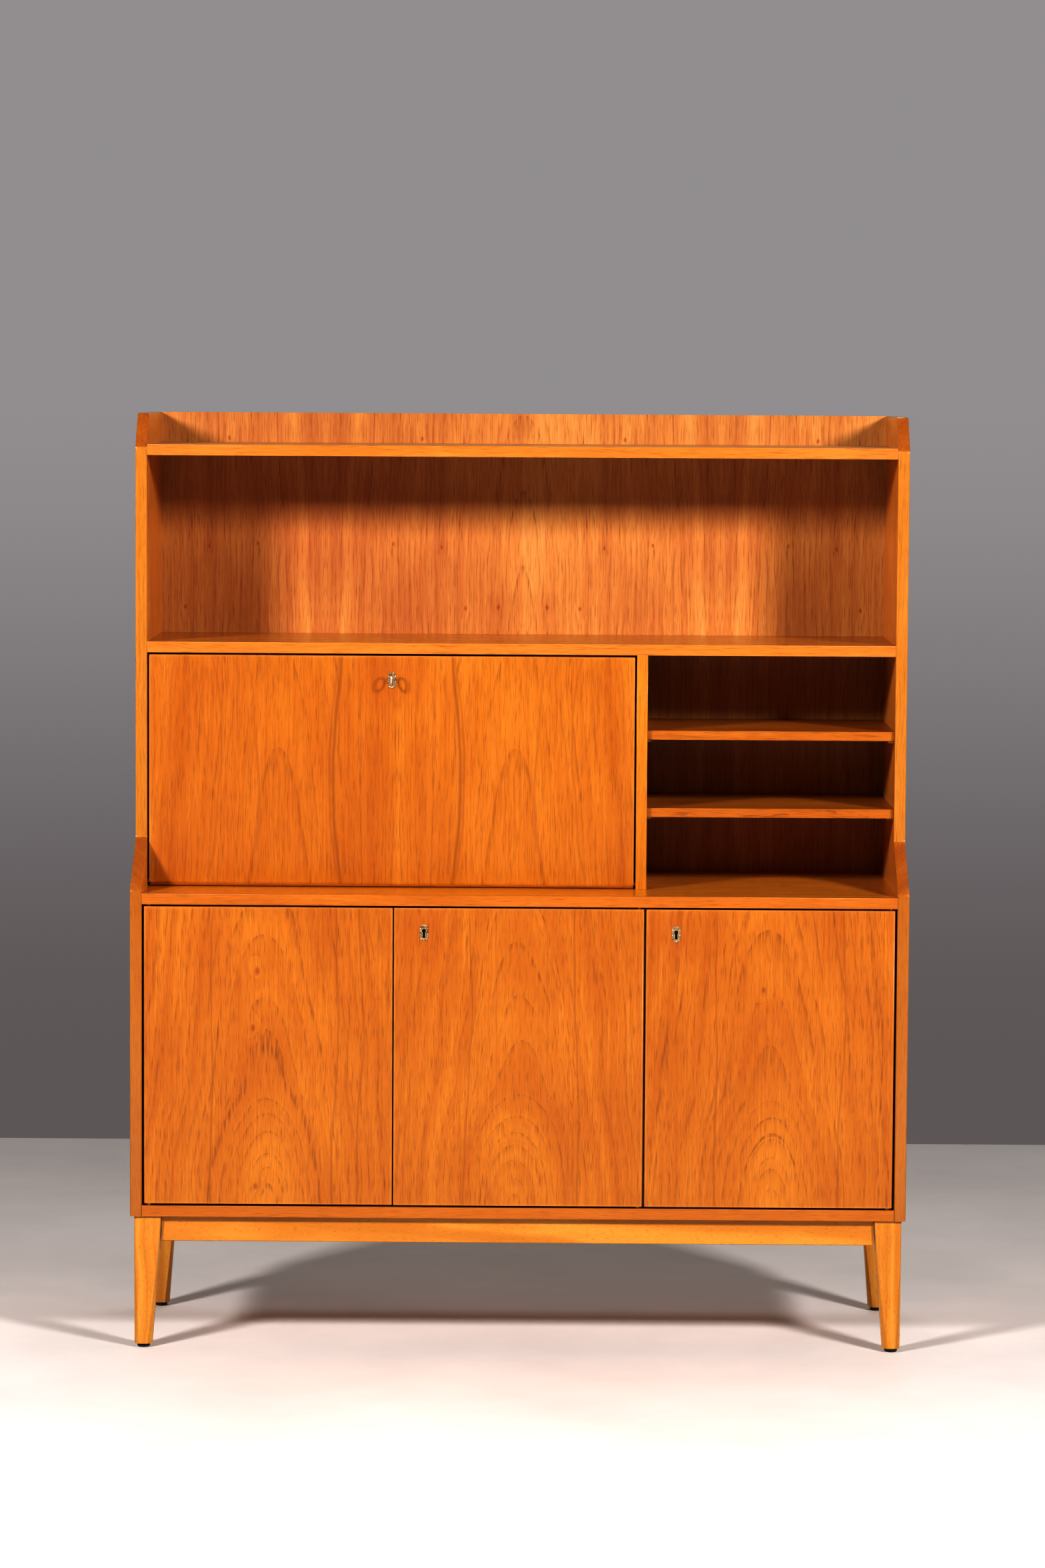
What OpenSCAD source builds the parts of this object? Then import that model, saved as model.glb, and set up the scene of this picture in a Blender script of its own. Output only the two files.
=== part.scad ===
// Secretary desk: a set-back bookcase with a fall front, over a three-door cupboard on a leg frame.
// Millimetres. +X is to the right, the front faces -Y, +Z is up, and the glides stand on Z = 0.

/* [Overall] */
// Width over the side panels
desk_w = 1200; // [1000:10:1440]
// Height from the floor to the top of the sides
desk_h = 1446; // [1205:1:1740]
// Depth from the lower front plane to the back
desk_d = 400; // [330:5:480]
// How far the upper part stands back from the lower one
set_back = 105; // [80:1:130]

/* [Heights] */
// Floor to the underside of the carcass
base_h = 207; // [170:1:250]
// Clear height of the cupboard, bottom board to worktop
cupboard_h = 468.5; // [390:0.5:570]
// Clear height of the desk compartment, worktop to middle shelf
compartment_h = 365.5; // [305:0.5:440]
// How far the sides and the back stand above the top shelf
gallery_h = 48; // [35:1:70]

/* [Boards] */
// Thickness of the side panels
side_t = 18; // [15:0.5:22]
// Thickness of the shelves, worktop, bottom board and dividers
board_t = 17; // [15:0.5:21]
// Thickness of the two thin open shelves and the desk shelf
thin_t = 14; // [12:0.5:17]
// Thickness of the uprights inside the desk
upright_t = 10; // [8:0.5:12]
// Thickness of the back panels
back_t = 10; // [8:0.5:12]
// Thickness of the doors and the flap
door_t = 16; // [13.5:0.1:19.2]
// Clear width of the open bay beside the flap
open_bay_w = 385; // [320:1:460]

/* [Side step] */
// Height of the sloped shoulder over the worktop
step_rise = 69; // [55:1:85]
// Height of the shoulder's lower corner over the worktop
step_lift = 6; // [3:0.5:12]
// How far the top corner runs back
top_run = 45; // [30:1:60]
// Height of the cut-back top corner
top_rise = 52; // [40:1:65]

/* [Legs] */
// Leg width at the top
leg_w = 42; // [36:0.5:50]
// Leg width at the foot
foot_w = 27; // [22:0.5:32]
// Chamfer on the leg's edges at the foot
foot_chamfer = 7; // [4:0.5:8]
// How far the legs stand in from the carcass sides
leg_inset = 6; // [2:0.5:20]
// How far the rear legs stand in from the back
rear_leg_inset = 32; // [20:1:60]
// Height of the frame rails
rail_h = 40; // [32:1:50]
// Thickness of the frame rails
rail_t = 20; // [16:0.5:24]
// Height of the glides under the feet
glide_h = 6; // [4:0.5:8]
// Diameter of the glides
glide_d = 20; // [16:0.5:22]

/* [Doors and flap] */
// Gap over and under the doors and over the flap
door_gap = 3; // [2:0.1:4]
// Gap between the two doors that meet
meeting_gap = 2.2; // [1.5:0.1:3]
// How far the doors and the flap lie behind the front plane
recess = 2; // [1.5:0.1:4]
// Distance of a door's pivot from its hinge edge
pivot_edge = 7; // [6:0.1:9]
// How far the doors open
door_open = 95; // [80:1:95]

/* [Hardware] */
// Diameter of the pivot pins
pivot_d = 5; // [4:0.1:6]
// Width of the pivot leaves
leaf_w = 10; // [8:0.5:11]
// Distance of the door keyholes from the door's edge
backset = 46; // [44:0.5:48]
// Distance of the keyholes from the top edge of door or flap
keyhole_drop = 35; // [32:0.5:38]
// Travel of the lock bolts and slide bolts
bolt_travel = 10; // [8:0.5:10]
// Width of a stay arm
arm_w = 14; // [12:0.5:16]
// Thickness of a stay arm
arm_t = 2.5; // [2:0.1:3]
// Diameter of the stud that the stay slides on
stud_d = 6; // [5:0.1:7]

/* [Hidden] */
$fn = 48;

// Running clearance of a pin in its hole, on the radius
run_fit = 0.05;
// Space kept between parts that pass each other
pass_gap = 0.3;

teak = "#9c5a2c";
teak_dark = "#86481f";
beech = "#d39a5b";
ply = "#a9713f";
brass = "#8f7440";
steel = "#b9bbbd";
plastic = "#17140f";

// Depth planes
front_y = -desk_d / 2;
back_y = desk_d / 2;
upper_y = front_y + set_back;
inner_back_y = back_y - back_t;

// Width planes
inner_x = desk_w / 2 - side_t;
divider_x1 = inner_x - open_bay_w;
divider_x0 = divider_x1 - board_t;
bay_x = [-inner_x, divider_x0];

// Height planes
bottom_z1 = base_h + board_t;
worktop_z0 = bottom_z1 + cupboard_h;
worktop_z1 = worktop_z0 + board_t;
middle_z0 = worktop_z1 + compartment_h;
middle_z1 = middle_z0 + board_t;
top_z1 = desk_h - gallery_h;
top_z0 = top_z1 - board_t;

// Doors: three equal bays, door 1 hinged on the left, doors 2 and 3 on the right
door_y0 = front_y + recess;
door_y1 = door_y0 + door_t;
door_z0 = bottom_z1 + door_gap;
door_z1 = worktop_z0 - door_gap;
door_arris = 2;
// A door's front hinge corner swings past its edge by this much
corner_reach = norm([pivot_edge - door_arris, door_t / 2 - door_arris]) + door_arris - pivot_edge;
hinge_gap = corner_reach + 0.4;
bay_edge = inner_x / 3;
door_1_x = [-inner_x + hinge_gap, -bay_edge - meeting_gap / 2];
door_2_x = [-bay_edge + meeting_gap / 2, bay_edge - hinge_gap / 2];
door_3_x = [bay_edge + hinge_gap / 2, inner_x - hinge_gap];
pivot_y = door_y0 + door_t / 2;
partition_y0 = max(pivot_y + norm([pivot_edge, door_t / 2]) + 1, door_y1 + 4);
partition_x0 = bay_edge - board_t / 2;
partition_x1 = bay_edge + board_t / 2;

// Flap: pivots at half its thickness over the worktop, with a half-round lower edge
flap_y0 = upper_y + recess;
flap_y1 = flap_y0 + door_t;
flap_pivot_y = flap_y0 + door_t / 2;
flap_pivot_z = worktop_z1 + door_t / 2 + 0.6;
flap_z1 = middle_z0 - door_gap;
flap_x0 = bay_x[0] + door_gap;
flap_x1 = bay_x[1] - door_gap;
flap_mid_x = (flap_x0 + flap_x1) / 2;
flap_key_z = flap_z1 - keyhole_drop;
door_key_z = door_z1 - keyhole_drop;

// Pivot leaves
leaf_t = 2.5;
leaf_len = 40;

// Stay: pin and stud lie on one circle about the flap's pivot, so the arm turns by half the flap's angle
pin_angle = 79;
stud_angle = 42;
arm_end = arm_w / 2 + 4;
arm_tilt = (pin_angle + stud_angle) / 2 - 90;
arm_room = inner_back_y - 6 - flap_pivot_y;
open_chord = 2 * sin((pin_angle + 90 - stud_angle) / 2);
stay_r = (arm_room - arm_end * cos(arm_tilt)) / (cos(pin_angle) + open_chord * cos(arm_tilt));
stay_len_closed = 2 * stay_r * sin((pin_angle - stud_angle) / 2);
stay_len_open = stay_r * open_chord;
stay_pin_y = flap_pivot_y + stay_r * cos(pin_angle);
stay_pin_z = flap_pivot_z + stay_r * sin(pin_angle);
stud_y = flap_pivot_y + stay_r * cos(stud_angle);
stud_z = flap_pivot_z + stay_r * sin(stud_angle);
flange_t = 1.5;
stay_pin_d = 5;

// Desk shelf stands above the highest place the stay reaches
desk_shelf_z0 = flap_pivot_z + stay_r + arm_w / 2 + 5;
desk_shelf_y0 = flap_y1 + 77;
upright_count = 3;

// Open shelves and cupboard shelves
open_shelf_y0 = upper_y + 8;
open_lower_z0 = worktop_z1 + 113;
open_upper_z0 = worktop_z1 + 234;
cupboard_left_z0 = bottom_z1 + 222;
cupboard_right_z0 = bottom_z1 + 246;
cupboard_shelf_y0 = door_y1 + 30;
shelf_play = 0.5;

// Fasteners
dowel_r = 4;
dowel_len = 26;
dowel_in_side = 11;
dowel_in_board = 7;
peg_r = 2.5;
peg_in = 7.5;
peg_collar_r = 3.5;
peg_collar_len = 8;
screw_r = 1.75;
screw_head_r = 3.5;
screw_head_t = 2;
screw_len = 26;
block_screw_r = 2;
end_play = 0.5;
lower_dowel_ys = [front_y + 45, 0, inner_back_y - 40];
upper_dowel_ys = [upper_y + 45, inner_back_y - 40];
divider_dowel_ys = [upper_y + 60, inner_back_y - 60];
partition_dowel_ys = [partition_y0 + 40, 20, inner_back_y - 25];
open_peg_ys = [open_shelf_y0 + 35, inner_back_y - 35];
cupboard_peg_ys = [cupboard_shelf_y0 + 35, inner_back_y - 50];
screw_xs = [-inner_x + 60, -30, inner_x - 60];

// Locks: a case on the back of the door or flap, with a sliding bolt that has a forked tail
case_len = 70;
case_w = 40;
case_t = 14;
case_wall = 1.2;
bolt_head_w = 16;
bolt_body_w = 26;
bolt_v0 = 8;
bolt_t = 4;
mortise_gap = 0.6;
case_step_2 = 2;
case_step_3 = partition_x1 + 2 - door_3_x[0];
key_tip_r = 1.5;
keyhole_r = 3.25;
keyhole_slot_w = 4;
keyhole_slot_h = 11;
plate_t = 1.5;

// Slide bolts on the back of door 1
slide_x = door_1_x[1] - 45;
slide_rod_r = 3;
slide_y = door_y1 + 5;
slide_body = [24, 9, 50];
slide_tip = 2;

// Frame under the carcass
leg_y0 = front_y + 5;
leg_x0 = -desk_w / 2 + leg_inset;
rear_leg_y1 = back_y - rear_leg_inset;
rail_step_front = 8;
rail_step_side = 4;
tenon_t = 10;
tenon_h = 30;
tenon_len = 22;
rail_z0 = base_h - rail_h;
chamfer_z = 130;
block = [60, 25, 25];

// ---- shared shapes ----

// A box between two corners
module box(a, b) {
    translate(a) cube(b - a);
}

// A rod along X from a point
module rod_x(p, r, len) {
    translate(p) rotate([0, 90, 0]) cylinder(r = r, h = len);
}

// A rod along Y from a point
module rod_y(p, r, len) {
    translate(p) rotate([-90, 0, 0]) cylinder(r = r, h = len);
}

function arc(c, r, a0, a1, n = 6) = [for (i = [0:n]) c + r * [cos(a0 + (a1 - a0) * i / n), sin(a0 + (a1 - a0) * i / n)]];

// Points that round the corner b of the path a-b-c with radius r
function fillet(a, b, c, r, n = 8) =
    let (
        u = (a - b) / norm(a - b),
        v = (c - b) / norm(c - b),
        half = acos(u * v) / 2,
        mid = (u + v) / norm(u + v),
        o = b + mid * r / sin(half),
        p = b + u * r / tan(half),
        q = b + v * r / tan(half),
        a0 = atan2(p[1] - o[1], p[0] - o[0]),
        turn = atan2(q[1] - o[1], q[0] - o[0]) - a0,
        sweep = turn > 180 ? turn - 360 : turn < -180 ? turn + 360 : turn
    )
    arc(o, r, a0, a0 + sweep, n);

// Dowels across a side or divider face at height z, grown by fit for their holes
module end_dowels(x, z, ys, into_side, fit = 0) {
    side_len = into_side > 0 ? dowel_in_side : dowel_len - dowel_in_side;
    for (y = ys)
        rod_x([x - side_len - end_play * sign(fit), y, z], dowel_r + fit, dowel_len + 2 * end_play * sign(fit));
}

// Upright dowels that reach from z into the board over or under it
module upright_dowels(x, z, ys, board_above, fit = 0) {
    low = board_above ? dowel_len - dowel_in_board : dowel_in_board;
    for (y = ys)
        translate([x, y, z - low - end_play * sign(fit)])
            cylinder(r = dowel_r + fit, h = dowel_len + 2 * end_play * sign(fit));
}

module left_end_dowels(fit = 0) {
    end_dowels(-inner_x, base_h + board_t / 2, lower_dowel_ys, 1, fit);
    end_dowels(-inner_x, worktop_z0 + board_t / 2, lower_dowel_ys, 1, fit);
    end_dowels(-inner_x, middle_z0 + board_t / 2, upper_dowel_ys, 1, fit);
    end_dowels(-inner_x, top_z0 + board_t / 2, upper_dowel_ys, 1, fit);
    end_dowels(-inner_x, desk_shelf_z0 + thin_t / 2, desk_dowel_ys(), 1, fit);
}

module right_end_dowels(fit = 0) {
    end_dowels(inner_x, base_h + board_t / 2, lower_dowel_ys, -1, fit);
    end_dowels(inner_x, worktop_z0 + board_t / 2, lower_dowel_ys, -1, fit);
    end_dowels(inner_x, middle_z0 + board_t / 2, upper_dowel_ys, -1, fit);
    end_dowels(inner_x, top_z0 + board_t / 2, upper_dowel_ys, -1, fit);
}

function desk_dowel_ys() = [desk_shelf_y0 + 40, inner_back_y - 30];

module desk_shelf_right_dowels(fit = 0) {
    end_dowels(divider_x0, desk_shelf_z0 + thin_t / 2, desk_dowel_ys(), -1, fit);
}

module divider_dowels(fit = 0) {
    x = (divider_x0 + divider_x1) / 2;
    upright_dowels(x, worktop_z1, divider_dowel_ys, false, fit);
    upright_dowels(x, middle_z0, divider_dowel_ys, true, fit);
}

module partition_dowels(fit = 0) {
    upright_dowels(bay_edge, bottom_z1, partition_dowel_ys, false, fit);
    upright_dowels(bay_edge, worktop_z0, partition_dowel_ys, true, fit);
}

// Support pins of a loose shelf between the faces xs, under height z
module pegs(xs, z, ys, fit = 0) {
    for (y = ys) {
        rod_x([xs[0] - peg_in - end_play * sign(fit), y, z - peg_collar_r], peg_r + fit,
            peg_in + peg_collar_len + end_play * sign(fit));
        rod_x([xs[1] - peg_collar_len, y, z - peg_collar_r], peg_r + fit,
            peg_in + peg_collar_len + end_play * sign(fit));
        if (fit == 0) {
            rod_x([xs[0], y, z - peg_collar_r], peg_collar_r, peg_collar_len);
            rod_x([xs[1] - peg_collar_len, y, z - peg_collar_r], peg_collar_r, peg_collar_len);
        }
    }
}

module open_pegs(fit = 0) {
    pegs([divider_x1, inner_x], open_lower_z0, open_peg_ys, fit);
    pegs([divider_x1, inner_x], open_upper_z0, open_peg_ys, fit);
}

module cupboard_pegs(fit = 0) {
    pegs([-inner_x, partition_x0], cupboard_left_z0, cupboard_peg_ys, fit);
    pegs([partition_x1, inner_x], cupboard_right_z0, cupboard_peg_ys, fit);
}

// Screws through the back into a board's rear edge, at height z
module back_screw_row(z, fit = 0) {
    for (x = screw_xs) {
        rod_y([x, back_y - screw_len - end_play * sign(fit), z], screw_r + fit, screw_len + end_play * sign(fit));
        rod_y([x, back_y - screw_head_t, z], screw_head_r + fit, screw_head_t);
    }
}

upper_row_z = worktop_z1 - board_t / 4;
lower_row_z = worktop_z0 + board_t / 4;
module top_screws(fit = 0) { back_screw_row(top_z0 + board_t / 2, fit); }
module middle_screws(fit = 0) { back_screw_row(middle_z0 + board_t / 2, fit); }
module worktop_screws(fit = 0) {
    back_screw_row(upper_row_z, fit);
    back_screw_row(lower_row_z, fit);
}
module bottom_screws(fit = 0) { back_screw_row(base_h + board_t / 2, fit); }

// Places of the blocks behind the frame rails
rail_front_y0 = leg_y0 + rail_step_front;
rail_rear_y0 = rear_leg_y1 - rail_step_front - rail_t;
rail_side_x0 = leg_x0 + rail_step_side;
block_xs = [leg_x0 + leg_w + 60, 0, -leg_x0 - leg_w - 60];

module block_screws(fit = 0) {
    h = block[2] + board_t - 5;
    for (x = block_xs, y = [rail_front_y0 + rail_t + block[1] / 2, rail_rear_y0 - block[1] / 2])
        translate([x, y, base_h - block[2]]) cylinder(r = block_screw_r + fit, h = h + end_play * sign(fit));
    for (s = [-1, 1])
        translate([s * (-rail_side_x0 - rail_t - block[1] / 2), 0, base_h - block[2]])
            cylinder(r = block_screw_r + fit, h = h + end_play * sign(fit));
}

// A pivot leaf lying flat, round at the pivot and running to +X
module leaf(t) {
    cylinder(r = leaf_w / 2, h = t);
    translate([0, -leaf_w / 2, 0]) cube([leaf_len - pivot_edge, leaf_w, t]);
}

// A leaf with its pin and collar; the leaf lies below Z = 0 and the pin reaches up
module pin_leaf() {
    translate([0, 0, -leaf_t]) leaf(leaf_t);
    cylinder(r = leaf_w / 2 - 1, h = door_gap - 0.1);
    cylinder(r = pivot_d / 2, h = door_gap + leaf_t - 0.2);
}

// A leaf with the bore that takes the pin
module socket_leaf() {
    difference() {
        leaf(leaf_t);
        translate([0, 0, -1]) cylinder(r = pivot_d / 2 + run_fit, h = leaf_t + 2);
    }
}

// Both pivots of a door, pins pointing out of its edges; dir is the way from the hinge edge inwards
module door_pivots(xp, dir) {
    translate([xp, pivot_y, door_z1]) rotate([0, 0, dir > 0 ? 0 : 180]) pin_leaf();
    translate([xp, pivot_y, door_z0]) rotate([0, 0, dir > 0 ? 0 : 180]) mirror([0, 0, 1]) pin_leaf();
}

module socket_pair(xp, dir) {
    turn = dir > 0 ? 0 : 180;
    translate([xp, pivot_y, worktop_z0]) rotate([0, 0, turn]) socket_leaf();
    translate([xp, pivot_y, bottom_z1 - leaf_t]) rotate([0, 0, turn]) socket_leaf();
}

module socket_seats(z) {
    for (p = [[pivot_1_x, 1], [pivot_2_x, -1], [pivot_3_x, -1]])
        translate([p[0], pivot_y, z]) rotate([0, 0, p[1] > 0 ? 0 : 180]) leaf(leaf_t);
}

pivot_1_x = door_1_x[0] + pivot_edge;
pivot_2_x = door_2_x[1] - pivot_edge;
pivot_3_x = door_3_x[1] - pivot_edge;

// Keyhole cut along Y through everything between y0 and y1
module keyhole(x, z, y0, y1) {
    rod_y([x, y0, z], keyhole_r, y1 - y0);
    box([x - keyhole_slot_w / 2, y0, z - keyhole_slot_h], [x + keyhole_slot_w / 2, y1, z]);
}

// Door leaf: hinge edge rounded so that it clears as it swings
module door_panel(xs, dir, keyed) {
    rl = dir > 0 ? door_arris : 0.6;
    rr = dir > 0 ? 0.6 : door_arris;
    outline = concat(
        arc([xs[0] + rl, door_y0 + rl], rl, 180, 270),
        arc([xs[1] - rr, door_y0 + rr], rr, 270, 360),
        arc([xs[1] - rr, door_y1 - rr], rr, 0, 90),
        arc([xs[0] + rl, door_y1 - rl], rl, 90, 180)
    );
    xp = dir > 0 ? xs[0] + pivot_edge : xs[1] - pivot_edge;
    difference() {
        translate([0, 0, door_z0]) linear_extrude(door_z1 - door_z0) polygon(outline);
        translate([xp, pivot_y, door_z1 - leaf_t]) rotate([0, 0, dir > 0 ? 0 : 180]) leaf(leaf_t + 1);
        translate([xp, pivot_y, door_z0 - 1]) rotate([0, 0, dir > 0 ? 0 : 180]) leaf(leaf_t + 1);
        if (keyed) keyhole(xs[0] + backset, door_key_z, door_y0 - 1, door_y1 + 1);
    }
}

// Escutcheon with small corner lobes, on a face that looks to -Y
module escutcheon(x, z, y) {
    t = 1.2;
    difference() {
        union() {
            box([x - 6, y - t, z - 13.5], [x + 6, y, z + 7.5]);
            box([x - 7, y - t, z - 11.5], [x + 7, y, z + 5.5]);
            for (sx = [-1, 1], dz = [5.5, -11.5]) rod_y([x + sx * 5, y - t, z + dz], 2, t);
            for (dz = [8.5, -14.5]) rod_y([x, y - t, z + dz - sign(dz)], 2.5, t);
        }
        keyhole(x, z, y - t - 1, y + 1);
    }
}

// Lock case in its own axes: the bolt slides to +X, the door's back is the plane Y = 0
module lock_case(key_u) {
    difference() {
        box([-case_len, 0, -case_w / 2], [0, case_t, case_w / 2]);
        box([-case_len + case_wall, -1, -case_w / 2 + case_wall],
            [-case_wall, case_t - case_wall, case_w / 2 - case_wall]);
        box([-case_wall - 1, bolt_v0 - pass_gap, -bolt_head_w / 2 - pass_gap],
            [1, bolt_v0 + bolt_t + pass_gap, bolt_head_w / 2 + pass_gap]);
        rod_y([-key_u, 0, 0], key_tip_r + run_fit, case_t + 1);
    }
}

// Lock bolt in the same axes, drawn back
module lock_bolt() {
    box([-14, bolt_v0, -bolt_head_w / 2], [-0.5, bolt_v0 + bolt_t, bolt_head_w / 2]);
    box([-26, bolt_v0, -bolt_body_w / 2], [-13, bolt_v0 + bolt_t, bolt_body_w / 2]);
    for (s = [-1, 1])
        box([-case_len + 16, bolt_v0, s * (bolt_body_w / 2 - 2) - 2],
            [-25, bolt_v0 + bolt_t, s * (bolt_body_w / 2 - 2) + 2]);
}

// Places a lock of door 2 or 3: the bolt points to -X
module on_door(x, z) {
    translate([x, door_y1, z]) mirror([1, 0, 0]) children();
}

// Places the flap's lock: the bolt points up
module on_flap() {
    translate([flap_mid_x, flap_y1, flap_z1]) rotate([0, -90, 0]) children();
}

// Tapered leg, outer corner on the Z axis, running to +X and +Y
module leg() {
    fall = (leg_w - foot_w) / (base_h - glide_h);
    mid_w = leg_w - fall * (base_h - chamfer_z);
    c = foot_chamfer;
    f = foot_w;
    difference() {
        union() {
            hull() {
                translate([0, 0, base_h - 0.01]) cube([leg_w, leg_w, 0.01]);
                translate([0, 0, chamfer_z]) cube([mid_w, mid_w, 0.01]);
            }
            hull() {
                translate([0, 0, chamfer_z]) cube([mid_w, mid_w, 0.01]);
                translate([0, 0, glide_h]) linear_extrude(0.01)
                    polygon([[c, 0], [f - c, 0], [f, c], [f, f - c], [f - c, f], [c, f], [0, f - c], [0, c]]);
            }
        }
        translate([foot_w / 2, foot_w / 2, glide_h - 1]) cylinder(r = 2 + run_fit, h = 16);
        box([leg_w - tenon_len - 0.5, rail_step_front + (rail_t - tenon_t) / 2, base_h - 5 - tenon_h],
            [leg_w + 1, rail_step_front + (rail_t + tenon_t) / 2, base_h - 5]);
        box([rail_step_side + (rail_t - tenon_t) / 2, leg_w - tenon_len - 0.5, base_h - 5 - tenon_h],
            [rail_step_side + (rail_t + tenon_t) / 2, leg_w + 1, base_h - 5]);
    }
}

module rail_along_x(y0) {
    x = -leg_x0 - leg_w;
    box([-x, y0, rail_z0], [x, y0 + rail_t, base_h]);
    box([-x - tenon_len, y0 + (rail_t - tenon_t) / 2, base_h - 5 - tenon_h],
        [x + tenon_len, y0 + (rail_t + tenon_t) / 2, base_h - 5]);
}

module rail_along_y() {
    y0 = leg_y0 + leg_w;
    y1 = rear_leg_y1 - leg_w;
    box([rail_side_x0, y0, rail_z0], [rail_side_x0 + rail_t, y1, base_h]);
    box([rail_side_x0 + (rail_t - tenon_t) / 2, y0 - tenon_len, base_h - 5 - tenon_h],
        [rail_side_x0 + (rail_t + tenon_t) / 2, y1 + tenon_len, base_h - 5]);
}

// Stay arm in the plane X = 0 to arm_t, pin at the origin, closed position
module stay_arm() {
    rotate([arm_tilt, 0, 0]) difference() {
        union() {
            rod_x([0, 0, 0], arm_w / 2, arm_t);
            box([0, 0, -arm_w / 2], [arm_t, stay_len_open + arm_end - arm_w / 2, arm_w / 2]);
            rod_x([0, stay_len_open + arm_end - arm_w / 2, 0], arm_w / 2, arm_t);
        }
        rod_x([-1, 0, 0], stay_pin_d / 2 + run_fit, arm_t + 2);
        slot_r = stud_d / 2 + pass_gap;
        rod_x([-1, stay_len_closed, 0], slot_r, arm_t + 2);
        rod_x([-1, stay_len_open, 0], slot_r, arm_t + 2);
        box([-1, stay_len_closed, -slot_r], [arm_t + 1, stay_len_open, slot_r]);
    }
}

// A stay and its fittings are drawn for the left end and mirrored for the right one
module both_ends() {
    children();
    translate([2 * flap_mid_x, 0, 0]) mirror([1, 0, 0]) children();
}

arm_x = bay_x[0] + flange_t + pass_gap;

module one_stud(fit = 0) {
    rod_x([bay_x[0] - 10 - end_play * sign(fit), stud_y, stud_z], 2 + fit, 11);
    if (fit == 0) {
        rod_x([bay_x[0], stud_y, stud_z], stud_d / 2 + 2.5, flange_t);
        rod_x([bay_x[0], stud_y, stud_z], stud_d / 2, flange_t + arm_t + 2 * pass_gap + 1.5);
        rod_x([arm_x + arm_t + pass_gap, stud_y, stud_z], stud_d / 2 + 2.5, 1.5);
    }
}

module one_bracket() {
    x = arm_x + arm_t + pass_gap;
    box([x, flap_y1, stay_pin_z - 14], [x + 18, flap_y1 + 2, stay_pin_z + 14]);
    box([x, flap_y1, stay_pin_z - 7], [x + 2, stay_pin_y, stay_pin_z + 7]);
    rod_x([x, stay_pin_y, stay_pin_z], 7, 2);
    rod_x([arm_x - 0.7, stay_pin_y, stay_pin_z], stay_pin_d / 2, arm_t + pass_gap + 1.7);
}

// Flap leaf on the left end, standing up from the pivot
module flap_leaf_place() {
    translate([flap_x0, flap_pivot_y, flap_pivot_z]) rotate([0, -90, 0]) children();
}

module flap_socket_place() {
    translate([bay_x[0], flap_pivot_y, flap_pivot_z]) rotate([0, -90, 0]) children();
}

// A mortise with its let-in plate in the middle shelf, over the flap's bolt
module flap_mortise(fit) {
    w = bolt_head_w / 2 + mortise_gap;
    box([flap_mid_x - w, flap_y1 + bolt_v0 - mortise_gap, middle_z0 - fit],
        [flap_mid_x + w, flap_y1 + bolt_v0 + bolt_t + mortise_gap, middle_z0 + bolt_travel - door_gap + 1.5]);
}

module flap_plate_seat() {
    box([flap_mid_x - 20, flap_y1 + bolt_v0 - 4, middle_z0],
        [flap_mid_x + 20, flap_y1 + bolt_v0 + bolt_t + 4, middle_z0 + plate_t]);
}

// The same in the partition's right face, beside door 3's bolt
module door_mortise(fit) {
    w = bolt_head_w / 2 + mortise_gap;
    box([partition_x1 - bolt_travel + 0.5, door_y1 + bolt_v0 - mortise_gap, door_key_z - w],
        [partition_x1 + fit, door_y1 + bolt_v0 + bolt_t + mortise_gap, door_key_z + w]);
}

module door_plate_seat() {
    box([partition_x1 - plate_t, partition_y0, door_key_z - 20],
        [partition_x1, door_y1 + bolt_v0 + bolt_t + 5, door_key_z + 20]);
}

// A square mortise for door 1's upper or lower slide bolt, starting at height z
module slide_mortise(z) {
    w = slide_rod_r + mortise_gap;
    box([slide_x - w, slide_y - w, z], [slide_x + w, slide_y + w, z + bolt_travel + 1]);
}

// ---- carcass ----

module side_panel() {
    y_step = front_y;
    a = [y_step, base_h];
    b = [y_step, worktop_z1 + step_lift];
    c = [upper_y, worktop_z1 + step_lift + step_rise];
    d = [upper_y, desk_h - top_rise];
    e = [upper_y + top_run, desk_h];
    f = [back_y, desk_h];
    outline = concat(
        [[back_y, base_h], a],
        fillet(a, b, c, 9),
        fillet(b, c, d, 12),
        fillet(c, d, e, 10),
        fillet(d, e, f, 8),
        [f]
    );
    difference() {
        translate([-desk_w / 2, 0, 0]) rotate([90, 0, 90]) linear_extrude(side_t) polygon(outline);
        box([-inner_x - side_t / 2, inner_back_y, base_h - 1], [-inner_x + 1, back_y + 1, desk_h + 1]);
    }
}

module side_left() {
    color(teak) difference() {
        side_panel();
        left_end_dowels(run_fit);
        pegs([-inner_x, partition_x0], cupboard_left_z0, cupboard_peg_ys, run_fit);
        one_stud(run_fit);
        flap_socket_place() leaf(leaf_t);
    }
}

module side_right() {
    color(teak) difference() {
        mirror([1, 0, 0]) side_panel();
        right_end_dowels(run_fit);
        open_pegs(run_fit);
        pegs([partition_x1, inner_x], cupboard_right_z0, cupboard_peg_ys, run_fit);
    }
}

module top_shelf() {
    color(teak) difference() {
        box([-inner_x, upper_y, top_z0], [inner_x, inner_back_y, top_z1]);
        end_dowels(-inner_x, top_z0 + board_t / 2, upper_dowel_ys, 1, run_fit);
        end_dowels(inner_x, top_z0 + board_t / 2, upper_dowel_ys, -1, run_fit);
        top_screws(run_fit);
    }
}

module middle_shelf() {
    color(teak) difference() {
        box([-inner_x, upper_y, middle_z0], [inner_x, inner_back_y, middle_z1]);
        end_dowels(-inner_x, middle_z0 + board_t / 2, upper_dowel_ys, 1, run_fit);
        end_dowels(inner_x, middle_z0 + board_t / 2, upper_dowel_ys, -1, run_fit);
        divider_dowels(run_fit);
        middle_screws(run_fit);
        flap_plate_seat();
        flap_mortise(1);
    }
}

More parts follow.
